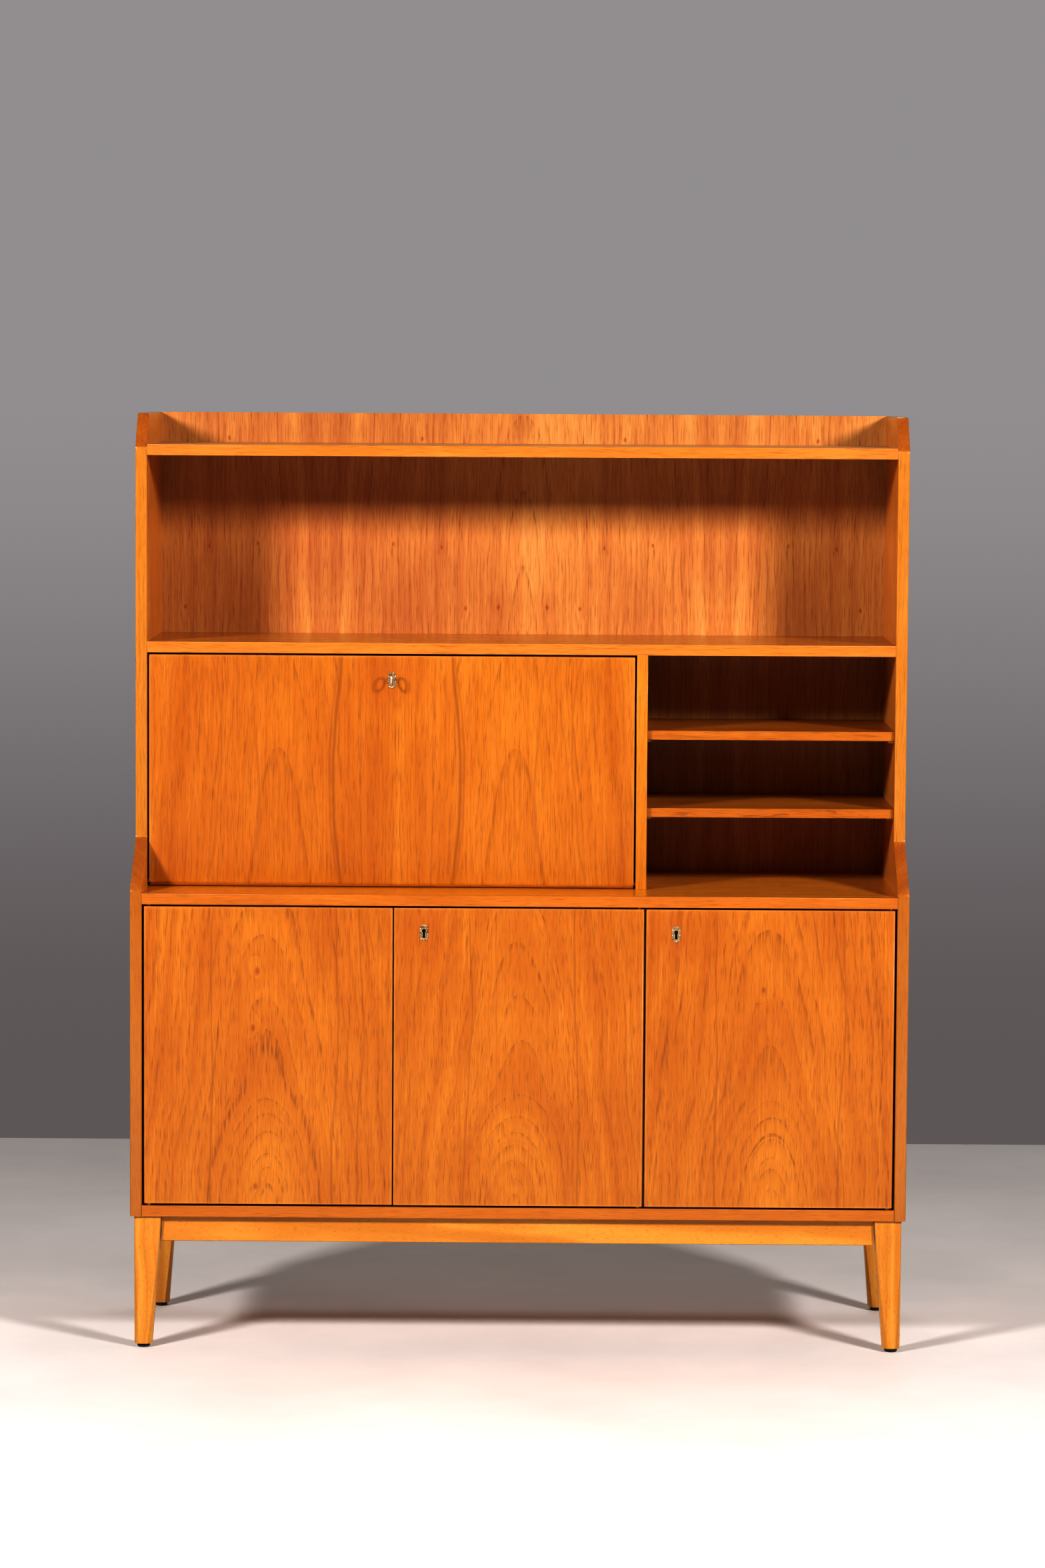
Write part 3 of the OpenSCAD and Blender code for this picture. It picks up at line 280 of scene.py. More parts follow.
side_out, side_in, rebate = 600 * MM, 582 * MM, 9 * MM
front_low, front_high, back_face, board_back = -200 * MM, -95 * MM, 200 * MM, 190 * MM
side_foot, side_top = 207 * MM, 1446 * MM
pivot_seat = (Vector((0, -90.05 * MM, 713.1 * MM)), Vector((0, -79.95 * MM, 751.1 * MM)))
step_low, step_high, slope_start, slope_run = 715.5 * MM, 784.5 * MM, 1394 * MM, 45 * MM

for hand, name in ((-1, "side_left"), (1, "side_right")):
    bm = bmesh.new()
    corners = [(back_face, side_foot), (front_low, side_foot), (front_low, step_low), (front_high, step_high),
               (front_high, slope_start), (front_high + slope_run, side_top), (back_face, side_top)]
    points = [bm.verts.new((hand * side_out, y, z)) for y, z in corners]
    bm.faces.new(points)
    for index, radius in ((2, 9), (3, 12), (4, 10), (5, 8)):
        # A vertex bevel is measured along the edges, so the radius is turned into that length
        here, before, after = [Vector((hand * side_out, *corners[k])) for k in (index, index - 1, index + 1)]
        bend = (before - here).angle(after - here)
        point = min(bm.verts, key=lambda v: (v.co - here).length)
        bmesh.ops.bevel(bm, geom=[point], offset=radius * MM / math.tan(bend / 2), offset_type="OFFSET",
                        segments=8, profile=0.5, affect="VERTICES", clamp_overlap=True, material=-1)
    bmesh.ops.bisect_plane(bm, geom=bm.verts[:] + bm.edges[:] + bm.faces[:], dist=1e-7,
                           plane_co=(0, board_back, 0), plane_no=(0, 1, 0))
    # The board is drawn out in two steps, and the second stops short of the rebate for the backs
    half_way = pull(bm, bm.faces[:], (-hand * rebate, 0, 0))
    inner = [g for g in half_way
             if isinstance(g, bmesh.types.BMFace) and g.calc_center_median().y < board_back - 40 * MM]
    pull(bm, inner, (-hand * rebate, 0, 0))
    bmesh.ops.delete(bm, geom=[f for f in inner if f.is_valid], context="FACES")
    bmesh.ops.remove_doubles(bm, verts=bm.verts[:], dist=1e-7)
    bmesh.ops.recalc_face_normals(bm, faces=bm.faces[:])
    rim = [e for e in bm.edges if len(e.link_faces) == 2 and e.calc_face_angle() > 1.2
           and (abs(abs(e.verts[0].co.x) - side_out) < 1e-6 or abs(abs(e.verts[0].co.x) - side_in) < 1e-6)
           and min(v.co.y for v in e.verts) < board_back - 1e-4
           and abs(e.verts[0].co.x - e.verts[1].co.x) < 1e-6]
    soften(bm, rim, 1.1 * MM)
    shade(bm)
    for face in bm.faces:
        # The slopes, which tilt up and forward, get a darker copy: painted shade, and the end grain there
        # also drinks more lacquer
        shaded_slope = -face.normal.y > 0.35 and face.normal.z > 0.35
        # Below the worktop step the lipping takes another darker copy of its teak
        low_down = face.calc_center_median().z < step_low
        face.material_index = 0 if abs(face.normal.x) > 0.9 else 2 if shaded_slope else 3 if low_down else 1
    if hand < 0:
        sink(bm, 0, -side_in, *pivot_seat, -2.5 * MM)
    make_piece(name + "_board", bm, [
        teak("teak veneer on " + name, "yxz", middle=0.06 * hand, heart=hand * 0.56, rise=(0.3, 0.10),
             turn=0.55, seed=3.0 + hand, tones=("#CC8234", "#D69240", "#DEA250")),
        teak("solid teak lipping on " + name, "xyz", middle=hand * 0.9, heart=-0.5, rise=(0.02, 0.02),
             seed=1.3 * hand,
             tones=("#B57D34", "#BE8942", "#C79550"), ring=0.004, figure=0.6, rough=(0.15, 0.22)),
        teak("solid teak on the slopes of " + name, "xyz", middle=hand * 0.9, heart=-0.5, rise=(0.02, 0.02),
             seed=1.3 * hand, tones=("#9E5C22", "#AE6C2A", "#BA7A38"), ring=0.004, rough=(0.15, 0.22)),
        teak("solid teak lipping low on " + name, "xyz", middle=hand * 0.9, heart=-0.5, rise=(0.02, 0.02),
             seed=5.3 * hand,
             tones=("#A66A28", "#AE7430", "#B8803C"), ring=0.004, figure=0.6, rough=(0.15, 0.22))],
        "carcass", "teak_veneer", name)


# ---- Boards across ----
# The top shelf, the middle shelf, the worktop and the bottom board are 17 mm boards, veneered
# lengthways, dowelled between the sides, each with a solid teak lipping on its front edge.
def block(bm, size, middle):
    """A square-edged block of a size about its middle."""
    verts = bmesh.ops.create_cube(bm, size=1.0)["verts"]
    bmesh.ops.scale(bm, vec=size, verts=verts)
    bmesh.ops.translate(bm, vec=middle, verts=verts)


def lipped_board(low, high, lip=4 * MM, arris=0.6 * MM):
    """A board between two corners; faces within lip of its front are solid teak."""
    bm = bmesh.new()
    block(bm, high - low, (low + high) / 2)
    front = [e for e in bm.edges if all(abs(v.co.y - low.y) < 1e-6 for v in e.verts)]
    soften(bm, front, arris)
    bmesh.ops.bisect_plane(bm, geom=bm.verts[:] + bm.edges[:] + bm.faces[:], dist=1e-7,
                           plane_co=(0, low.y + lip, 0), plane_no=(0, 1, 0))
    shade(bm)
    for face in bm.faces:
        face.material_index = 1 if face.calc_center_median().y < low.y + lip else 0
    return bm


# The seats of the doors' brass leaves, and the square mortises for door 1's slide bolts
leaf_half, leaf_reach, leaf_depth = 5.05 * MM, 33.05 * MM, 2.5 * MM
bolt_half, bolt_depth = 3.6 * MM, 10 * MM
pivot_y = -190 * MM
sockets = ((-571.79 * MM, 1), (185.395 * MM, -1), (571.79 * MM, -1))
bolt_x, bolt_y = -240.1 * MM, -177 * MM
pale_lipping, deep_lipping = ("#B8792E", "#C18538", "#CA9244"), ("#AB661A", "#BA7524", "#C5832E")
shelf_veneer = ("#B87A2C", "#C48735", "#CD9441")
# Each board: its underside, its top and its front edge in millimetres, a seed for its figure, and the
# tones of its veneer and its lipping
for name, z0, z1, y0, seed, tones, edge in (
        ("top_shelf", 1381, 1398, -95, 2.1, shelf_veneer, pale_lipping),
        ("middle_shelf", 1075, 1092, -95, 4.7, shelf_veneer, pale_lipping),
        ("worktop", 692.5, 709.5, -200, 6.2, ("#D38B2E", "#E09A38", "#EBAA44"), deep_lipping),
        ("bottom_board", 207, 224, -200, 8.4, ("#A45E1E", "#B06E24", "#BC7C2E"), deep_lipping)):
    low, high = Vector((-side_in, y0 * MM, z0 * MM)), Vector((side_in, board_back, z1 * MM))
    bm = lipped_board(low, high)
    if name in ("worktop", "bottom_board"):
        level, inward = (low.z, 1) if name == "worktop" else (high.z, -1)
        for x, way in sockets:
            ends = sorted((x - way * leaf_half, x + way * leaf_reach))
            sink(bm, 2, level, Vector((ends[0], pivot_y - leaf_half, 0)),
                 Vector((ends[1], pivot_y + leaf_half, 0)), inward * leaf_depth)
        sink(bm, 2, level, Vector((bolt_x - bolt_half, bolt_y - bolt_half, 0)),
             Vector((bolt_x + bolt_half, bolt_y + bolt_half, 0)), inward * bolt_depth)
    if name == "middle_shelf":
        # The flap lock's strike plate is let in, and the bolt runs on into a mortise behind it
        sink(bm, 2, low.z, Vector((-221 * MM, -73 * MM, 0)), Vector((-181 * MM, -61 * MM, 0)), 1.5 * MM)
        sink(bm, 2, low.z + 1.5 * MM, Vector((-209.6 * MM, -69.6 * MM, 0)),
             Vector((-192.4 * MM, -64.4 * MM, 0)), 7 * MM)
    make_piece(name + "_board", bm, [
        teak("teak veneer on " + name, "yzx", middle=-0.02, heart=z1 * MM - 0.012, rise=(0.1, 0.06),
             turn=-0.1, seed=seed, tones=tones,
             figure=0.7, rough=(0.30, 0.40) if name == "top_shelf" else (0.18, 0.28)),
        teak("solid teak lipping on " + name, "zyx", middle=z0 * MM + 0.09, heart=y0 * MM - 0.02,
             rise=(0.02, 0.012), turn=0.2, seed=seed + 0.7, tones=edge, ring=0.005, figure=0.7)],
        "carcass", "teak_veneer", name)


# ---- Upper divider ----
# A 17 mm board, teak veneered, that stands dowelled between worktop and middle shelf. Its front
# edge has a solid teak lipping, and its left face a seat for the flap's right pivot.
low, high = Vector((180 * MM, -95 * MM, 709.5 * MM)), Vector((197 * MM, 190 * MM, 1075 * MM))
bm = lipped_board(low, high)
sink(bm, 0, low.x, *pivot_seat, 2.5 * MM)
make_piece("upper_divider_board", bm, [
    teak("teak veneer on divider", "yxz", middle=0.05, heart=0.17, rise=(0.3, 0.1), turn=0.8, seed=5.1),
    teak("solid teak lipping on divider", "xyz", middle=0.3, heart=-0.3, rise=(0.02, 0.02), seed=2.9,
         tones=("#BC7E2A", "#C58A36", "#CE9844"), ring=0.004, figure=0.6, rough=(0.15, 0.22))],
    "carcass", "teak_veneer", "upper_divider")


# ---- Partition, inner shelves and stops ----
# Veneered boards inside: the cupboard partition, the loose shelves on their pins, the desk
# shelf with its upright dividers, and the small blocks that doors and flap close against.
def finish_nodes(material, *names):
    """Gives CAD nodes their material."""
    for name in names:
        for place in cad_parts[name].material_slots:
            place.material = material


finish_nodes(teak("teak veneer on partition", "yxz", middle=0.02, heart=0.18, rise=(0.3, 0.1), turn=0.4,
                  seed=8.8),
             "cupboard_partition")
finish_nodes(teak("teak veneer on shelves", "yzx", middle=0.03, heart=0.82, rise=(0.08, 0.05), turn=0.3,
                  seed=9.6),
             "open_shelf_upper", "open_shelf_lower", "cupboard_shelf_left", "cupboard_shelf_right",
             "desk_shelf")
finish_nodes(teak("teak veneer on uprights", "yxz", middle=0.1, heart=-0.1, rise=(0.2, 0.1), turn=1.0,
                  seed=4.4),
             "desk_uprights", "stop_blocks", "door_1_strike_block")


# ---- Backs ----
# Two teak-faced plywood panels in the sides' rebates. The veneer leaves are 318 mm wide and
# bookmatched, so the pin knots of one leaf come back in its mirror image.
pins = ((0.0395, 1.135, 0.0022), (0.092, 1.133, 0.0020), (0.131, 1.231, 0.0018), (0.209, 1.236, 0.0018),
        (0.163, 1.405, 0.0022))
finish_nodes(teak("teak veneer on upper back", "xyz", leaf=0.318, heart=0.15, rise=(0.20, 0.10), turn=1.10,
                  knots=pins, seed=0.4, ring=0.009, figure=0.8, tones=("#AE7140", "#C08A4E", "#CA9D61")),
             "back_upper")
finish_nodes(teak("teak veneer on lower back", "xyz", leaf=0.318, heart=0.15, rise=(0.20, 0.10), turn=0.45,
                  seed=7.4, figure=0.8, tones=("#AE7140", "#C08A4E", "#CA9D61")),
             "back_lower")


# ---- Leg frame ----
# Solid beech with a clear lacquer that has gone yellow: four tapered legs whose corners are
# chamfered more and more towards the foot, rails tenoned between them, and screwed blocks.
def beech(name, order="xyz", middle=0.5, heart=0.0, seed=0.0, tones=("#B97C28", "#C18632", "#CA943E")):
    """Planed beech under clear lacquer that has gone yellow. It shows an even honey yellow with
    the short dark flecks of its rays, and a satin sheen."""
    material, tree = new_material(name)
    cut = wood_figure(tree, order, middle, 0.0, 0.0, heart, (0.02, 0.02), 0.0, (), seed)
    place = cut["place"]
    bands = add(tree, "TexNoise", {"noise_dimensions": "1D"}, Scale=1.0, Detail=3.0,
                W=add(tree, "Math", {"operation": "MULTIPLY"}, _0=cut["field"], _1=120.0))
    clouds = add(tree, "TexNoise", None, Scale=1.0, Detail=2.0,
                 Vector=add(tree, "VectorMath", {"operation": "MULTIPLY"}, _0=place, _1=(30.0, 30.0, 6.0)))
    tone = add(tree, "Math", {"operation": "MULTIPLY_ADD"}, _0=bands, _1=0.9,
               _2=add(tree, "Math", {"operation": "MULTIPLY_ADD"}, _0=clouds, _1=0.9, _2=-0.4))
    colour = add(tree, "Mix", {"data_type": "RGBA"}, _0=add(tree, "MapRange", None, _0=tone, _1=0.2, _2=0.5),
                 _6=paint(tones[0]), _7=paint(tones[1]))
    colour = add(tree, "Mix", {"data_type": "RGBA"},
                 _0=add(tree, "MapRange", None, _0=tone, _1=0.45, _2=0.75), _6=colour, _7=paint(tones[2]))
    # Ray flecks are 0.5 mm by 3 mm; they are drawn 1 mm by 6 mm so that they show
    flecks = add(tree, "TexNoise", None, Scale=1.0, Detail=0.0,
                 Vector=add(tree, "VectorMath", {"operation": "MULTIPLY"}, _0=place,
                            _1=(750.0, 750.0, 130.0)))
    flecks = add(tree, "MapRange", None, _0=flecks, _1=0.62, _2=0.75, _3=0.0, _4=0.32)
    colour = add(tree, "Mix", {"data_type": "RGBA"}, _0=flecks, _6=colour, _7=paint("#95591A"))
    rough = add(tree, "MapRange", None, _0=clouds, _1=0.3, _2=0.7, _3=0.30, _4=0.42)
    relief = add(tree, "Bump", {"invert": True}, Strength=0.15, Distance=0.0001, Height=flecks)
    shader = add(tree, "BsdfPrincipled", None, Base_Color=colour, Roughness=rough, Normal=relief, IOR=1.5)
    add(tree, "OutputMaterial", None, Surface=shader)
    return material


leg_top, leg_foot, leg_bend, leg_glide = 42 * MM, 27 * MM, 130 * MM, 6 * MM
for name, sx, sy, corner in (("leg_front_left", 1, 1, (-594, -195)), ("leg_front_right", -1, 1, (594, -195)),
                             ("leg_rear_left", 1, -1, (-594, 168)), ("leg_rear_right", -1, -1, (594, 168))):
    bm = bmesh.new()
    middle_width = leg_top - (leg_top - leg_foot) * (side_foot - leg_bend) / (side_foot - leg_glide)
    rings = []
    for z, w, c in ((leg_glide, leg_foot, 7 * MM),
                    (leg_glide + 62 * MM, (leg_foot + middle_width) / 2, 4.2 * MM),
                    (leg_bend, middle_width, 1.5 * MM), (side_foot, leg_top, 1.2 * MM)):
        # Eight corners of a square with its corners cut off by c, one ring at each height
        corners = ((c, 0), (w - c, 0), (w, c), (w, w - c), (w - c, w), (c, w), (0, w - c), (0, c))
        ring = [bm.verts.new((x, y, z)) for x, y in corners]
        rings.append([bm.edges.new((ring[i], ring[(i + 1) % 8])) for i in range(8)])
    for below, above in zip(rings, rings[1:]):
        bmesh.ops.bridge_loops(bm, edges=below + above)
    for ring in (rings[0], rings[-1]):
        bmesh.ops.contextual_create(bm, geom=ring)
    bmesh.ops.scale(bm, vec=(sx, sy, 1), verts=bm.verts[:])
    bmesh.ops.translate(bm, vec=(corner[0] * MM, corner[1] * MM, 0), verts=bm.verts[:])
    bmesh.ops.recalc_face_normals(bm, faces=bm.faces[:])
    foot = [e for e in bm.edges if all(abs(v.co.z - leg_glide) < 1e-6 for v in e.verts)]
    soften(bm, foot, 0.8 * MM, 2)
    bm.normal_update()
    for face in bm.faces:
        face.smooth = 0.3 < abs(face.normal.z) < 0.99
    make_piece(name + "_post", bm, [
        beech("lacquered beech " + name, "xyz", middle=corner[0] * MM + sx * 0.11,
              heart=corner[1] * MM - sy * 0.05, seed=1.7 * sx + 0.6 * sy)],
        "carcass", "beech", name)

for name, low, high, order in (("rail_front", (-552, -187, 167), (552, -167, 207), "zyx"),
                               ("rail_rear", (-552, 140, 167), (552, 160, 207), "zyx"),
                               ("rail_left", (-590, -153, 167), (-570, 126, 207), "zxy"),
                               ("rail_right", (570, -153, 167), (590, 126, 207), "zxy")):
    bm = bmesh.new()
    low, high = Vector(low) * MM, Vector(high) * MM
    block(bm, high - low, (low + high) / 2)
    soften(bm, [e for e in bm.edges if all(abs(v.co.z - low.z) < 1e-6 for v in e.verts)], 1.0 * MM)
    shade(bm)
    make_piece(name + "_bar", bm,
               [beech("lacquered beech " + name, order, middle=0.34, heart=0.4, seed=low.x * 3 + low.y)],
               "carcass", "beech", name)
finish_nodes(beech("plain beech blocks", "zyx", middle=0.3, heart=0.2,
                   tones=("#B98A54", "#CBA06A", "#D8B484")),
             "rail_blocks", "carcass_dowels")


# ---- Glides ----
# Black discs 20 mm across and 6 mm thick, moulded in plastic with a rounded lower rim, nailed
# under the feet so that the desk slides without tearing the wood.
def plastic(name, colour, rough):
    """Moulded plastic: near black and half matt, with a fine grain from the tool, and greyer
    where it is scuffed."""
    material, tree = new_material(name)
    spot = add(tree, "TexCoord").outputs["Object"]
    grain = add(tree, "TexNoise", None, Vector=spot, Scale=900.0, Detail=2.0)
    scuff = add(tree, "TexNoise", None, Vector=spot, Scale=140.0, Detail=3.0)
    tint = add(tree, "Mix", {"data_type": "RGBA"},
               _0=add(tree, "MapRange", None, _0=scuff, _1=0.55, _2=0.75),
               _6=paint(colour), _7=paint("#4A4642"))
    relief = add(tree, "Bump", None, Strength=0.2, Distance=0.0001, Height=grain)
    shader = add(tree, "BsdfPrincipled", None, Base_Color=tint, Normal=relief, IOR=1.46,
                 Roughness=add(tree, "MapRange", None, _0=scuff, _1=0.3, _2=0.7, _3=rough, _4=rough + 0.2))
    add(tree, "OutputMaterial", None, Surface=shader)
    return material


bm = bmesh.new()
for x in (-580.5 * MM, 580.5 * MM):
    for y in (-181.5 * MM, 154.5 * MM):
        # Half of the disc's outline, from the middle of its underside to the nail's end
        outline = [(0, 0), (7.6, 0), (8.6, 0.3), (9.4, 1.0), (9.8, 2.0), (10, 3.0), (10, 5.4), (9.6, 6.0),
                   (0, 6.0)]
        line = [bm.verts.new((x + r * MM, y, z * MM)) for r, z in outline]
        strip = [bm.edges.new(pair) for pair in zip(line, line[1:])]
        bmesh.ops.spin(bm, geom=line + strip, cent=(x, y, 0), axis=(0, 0, 1), angle=math.tau, steps=32,
                       use_merge=True)
bmesh.ops.remove_doubles(bm, verts=bm.verts[:], dist=1e-6)
for face in bm.faces:
    face.smooth = True
make_piece("foot_glides", bm, [plastic("black moulded plastic", "#15120F", 0.45)], "carcass",
           "black_plastic", "glides")


# ---- Fittings ----
# Bought-in fittings, screwed or pressed into their seats: pivot leaves, sockets, strike plates,
# stays, studs, pins and bolts of pressed brass, and screws and lock cases of zinc plated steel.
def metal(name, colour, stain, rough, brushed=0.0):
    """Pressed or turned metal: bright where it is rubbed and dulled in patches; brushed metal
    has fine lines along X."""
    material, tree = new_material(name)
    spot = add(tree, "TexCoord").outputs["Object"]
    patches = add(tree, "TexNoise", None, Vector=spot, Scale=160.0, Detail=4.0)
    lines = add(tree, "TexNoise", None, Scale=1.0, Detail=2.0,
                Vector=add(tree, "VectorMath", {"operation": "MULTIPLY"}, _0=spot, _1=(60.0, 1800.0, 1800.0)))
    tint = add(tree, "Mix", {"data_type": "RGBA"},
               _0=add(tree, "MapRange", None, _0=patches, _1=0.40, _2=0.66),
               _6=paint(colour), _7=paint(stain))
    relief = add(tree, "Bump", None, Strength=0.1 + brushed, Distance=0.00005, Height=lines)
    shader = add(tree, "BsdfPrincipled", None, Base_Color=tint, Normal=relief, Metallic=1.0,
                 Roughness=add(tree, "MapRange", None, _0=patches, _1=0.3, _2=0.7, _3=rough, _4=rough + 0.18))
    add(tree, "OutputMaterial", None, Surface=shader)
    return material


brass = metal("pressed brass, gone dull", "#C9A25A", "#7A5A2C", 0.30, 0.1)
steel = metal("zinc plated steel", "#B9BDC0", "#8A8C8C", 0.32, 0.15)
finish_nodes(brass, "shelf_pins", "door_pivot_sockets", "flap_pivot_sockets", "strike_plates", "stay_studs",
             "flap_pivots", "stay_brackets", "stay_left", "stay_right", "door_1_pivots", "door_2_pivots",
             "door_3_pivots", "flap_lock_bolt", "door_2_lock_bolt", "door_3_lock_bolt", "door_1_bolt_bodies",
             "door_1_top_bolt", "door_1_bottom_bolt")
finish_nodes(steel, "carcass_screws", "flap_lock_case", "door_2_lock_case", "door_3_lock_case")


# ---- Doors ----
# Three 16 mm veneered doors from one flitch: each shows the same tall arches. They turn on
# leaves let into their top and bottom edges, door 1 at its left edge, doors 2 and 3 at their right.
def keyhole_ring(bm, x, y, z, grow=0.0):
    """A keyhole's outline as a loop of edges: a round eye over a slot."""
    eyelet = bmesh.ops.create_circle(bm, cap_ends=False, radius=3.25 * MM + grow, segments=16)["verts"]
    bmesh.ops.rotate(bm, verts=eyelet, cent=(0, 0, 0), matrix=Matrix.Rotation(math.pi / 16, 3, "Z"))
    bmesh.ops.rotate(bm, verts=eyelet, cent=(0, 0, 0), matrix=Matrix.Rotation(math.pi / 2, 3, "X"))
    for vert in sorted(eyelet, key=lambda v: v.co.z)[:2]:
        vert.co = (math.copysign(2.2 * MM + grow, vert.co.x), 0, -11 * MM - grow)
    bmesh.ops.translate(bm, vec=(x, y, z), verts=eyelet)
    return list({e for v in eyelet for e in v.link_edges})


def keyed_slab(low, high, key):
    """A slab with an open keyhole from front to back; its front looks to -Y."""
    bm = bmesh.new()
    corners = [bm.verts.new((x, low.y, z)) for x, z in
               ((low.x, low.z), (high.x, low.z), (high.x, high.z), (low.x, high.z))]
    frame_edges = [bm.edges.new((corners[i], corners[(i + 1) % 4])) for i in range(4)]
    if key:
        hole = keyhole_ring(bm, key[0], low.y, key[1])
        bmesh.ops.triangle_fill(bm, edges=frame_edges + hole, use_beauty=True, use_dissolve=False)
        # Nothing fills the hole itself
        spare = [f for f in bm.faces if all(v not in corners for v in f.verts) and
                 (f.calc_center_median() - Vector((key[0], low.y, key[1] - 4 * MM))).length < 9 * MM and
                 all(len(e.link_faces) == 2 or e in hole for e in f.edges) and
                 abs(f.calc_center_median().x - key[0]) < 2.9 * MM]
        bmesh.ops.delete(bm, geom=spare, context="FACES_ONLY")
    else:
        bm.faces.new(corners)
    pull(bm, bm.faces[:], (0, high.y - low.y, 0))
    bmesh.ops.recalc_face_normals(bm, faces=bm.faces[:])
    return bm


def outer_edges(bm, low, high):
    """The slab's long edges, all but those of its keyhole."""
    on = lambda v: sum(abs(v.co[k] - b[k]) < 1e-6 for k in range(3) for b in (low, high)) >= 3
    return [e for e in bm.edges
            if all(on(v) for v in e.verts) and len(e.link_faces) == 2 and e.calc_face_angle() > 1.0]


door_low_z, door_high_z, door_front, door_back = 227 * MM, 689.5 * MM, -198 * MM, -182 * MM
# Each door: its left and right edges in millimetres, the way it runs from its hinge, its keyhole, the
# middle of its arches, a seed, its single dark lines, and its pin knots as place, height and size
door_rows = (("door_1", -578.79, -195.1, 1, None, -0.3869, 0.02, (0.103, 0.142, -0.085),
              ((-0.017, 0.590, 0.0035), (-0.023, 0.502, 0.0030), (-0.019, 0.255, 0.0028))),
             ("door_2", -192.9, 192.395, -1, -146.9, 0.0, 0.35, (-0.080, 0.090), ()),
             ("door_3", 195.605, 578.79, -1, 241.6, 0.392, 0.0, (-0.085, 0.106), ((-0.015, 0.566, 0.0025),)))
for name, x0, x1, way, key_x, arch_x, seed, dark_lines, knots in door_rows:
    low, high = Vector((x0 * MM, door_front, door_low_z)), Vector((x1 * MM, door_back, door_high_z))
    key = (key_x * MM, 654.5 * MM) if key_x else None
    bm = keyed_slab(low, high, key)
    hinge_x = low.x if way > 0 else high.x
    long_edges = outer_edges(bm, low, high)
    round_edges = [e for e in long_edges if all(abs(v.co.x - hinge_x) < 1e-6 for v in e.verts)
                   and abs(e.verts[0].co.z - e.verts[1].co.z) > 0.1]
    soften(bm, round_edges, 2 * MM, 4)
    rest = [e for e in bm.edges if len(e.link_faces) == 2 and e.calc_face_angle() > 1.0
            and all(abs(v.co.z - low.z) < 1e-6 or abs(v.co.z - high.z) < 1e-6 for v in e.verts)
            and abs(e.verts[0].co.z - e.verts[1].co.z) < 1e-6]
    soften(bm, rest, 0.7 * MM, 2)
    pivot_x = hinge_x + way * 7 * MM
    ends = sorted((pivot_x - way * leaf_half, pivot_x + way * leaf_reach))
    for level, depth in ((high.z, -leaf_depth), (low.z, leaf_depth)):
        sink(bm, 2, level, Vector((ends[0], pivot_y - leaf_half, 0)),
             Vector((ends[1], pivot_y + leaf_half, 0)), depth)
    shade(bm)
    for face in bm.faces:
        face.material_index = 0 if abs(face.normal.y) > 0.9 else 1
    make_piece(name + "_leaf", bm, [
        teak("teak veneer on " + name, "xyz", middle=arch_x, heart=door_front - 0.078, rise=(0.42, 0.12),
             turn=0.4 + 0.02 * seed, knots=knots, seed=seed, handled=key, panel=(low, high),
             lines=[(at, 0.0022, 0.45, 0.0) for at in dark_lines]),
        teak("solid teak lipping on " + name, "zyx", middle=0.9, heart=-0.5, rise=(0.02, 0.02),
             seed=seed + 2.0, ring=0.004)],
        name, "teak_veneer", name + "_panel")


# ---- Flap ----
# The writing flap: a 16 mm veneered panel, bookmatched at its middle, half round along its
# lower edge, where it turns down on two pivots until it lies level.
low, high = Vector((-579 * MM, -93 * MM, 710.1 * MM)), Vector((177 * MM, -77 * MM, 1072 * MM))
flap_key = (-201 * MM, 1037 * MM)
bm = keyed_slab(low, high, flap_key)
soften(bm, [e for e in outer_edges(bm, low, high) if all(abs(v.co.z - low.z) < 1e-6 for v in e.verts)
            and abs(e.verts[0].co.x - e.verts[1].co.x) > 0.1], 7.99 * MM, 10)
soften(bm, [e for e in bm.edges if len(e.link_faces) == 2 and e.calc_face_angle() > 1.0
            and all(abs(v.co.z - high.z) < 1e-6 for v in e.verts)], 0.7 * MM, 2)
for level, depth in ((low.x, 2.5 * MM), (high.x, -2.5 * MM)):
    sink(bm, 0, level, *pivot_seat, depth)
shade(bm)
for face in bm.faces:
    face.material_index = 0 if abs(face.normal.y) > 0.9 else 1
make_piece("flap_leaf", bm, [
    teak("teak veneer on flap", "xyz", middle=-0.193, leaf=0.39, arch=0.19, heart=-0.093 - 0.10,
         rise=(0.06, 0.06), turn=0.9, seed=0.8, handled=flap_key, panel=(low, high), ring=0.013,
         lines=((-0.085, 0.0050, 0.55, -0.4), (-0.078, 0.0028, 0.35, -0.5), (0.03, 0.003, 0.3, 0.6),
                (0.09, 0.003, 0.3, 0.5)),
         figure=0.8),
    teak("solid teak lipping on flap", "zyx", middle=0.2, heart=-0.5, rise=(0.02, 0.02), seed=6.3,
         ring=0.004)],
    "flap", "teak_veneer", "flap_panel")


# ---- Escutcheons ----
# Cast brass keyhole plates, 14 mm by 26 mm, with a beaded border and a bright rim round the
# hole, pinned over the keyholes of the flap, door 2 and door 3.
plate_brass = metal("cast brass, dark in its hollows", "#D2B488", "#7A5C40", 0.34)
rim_brass = metal("rubbed brass rim", "#F2E2C4", "#C8AE88", 0.30)
plate_thick = 0.7 * MM


def oblong(angle):
    """How far an oblong with soft corners reaches at an angle, its half sides being 1."""
    return (abs(math.cos(angle)) ** 3.2 + abs(math.sin(angle)) ** 3.2) ** (-1 / 3.2)


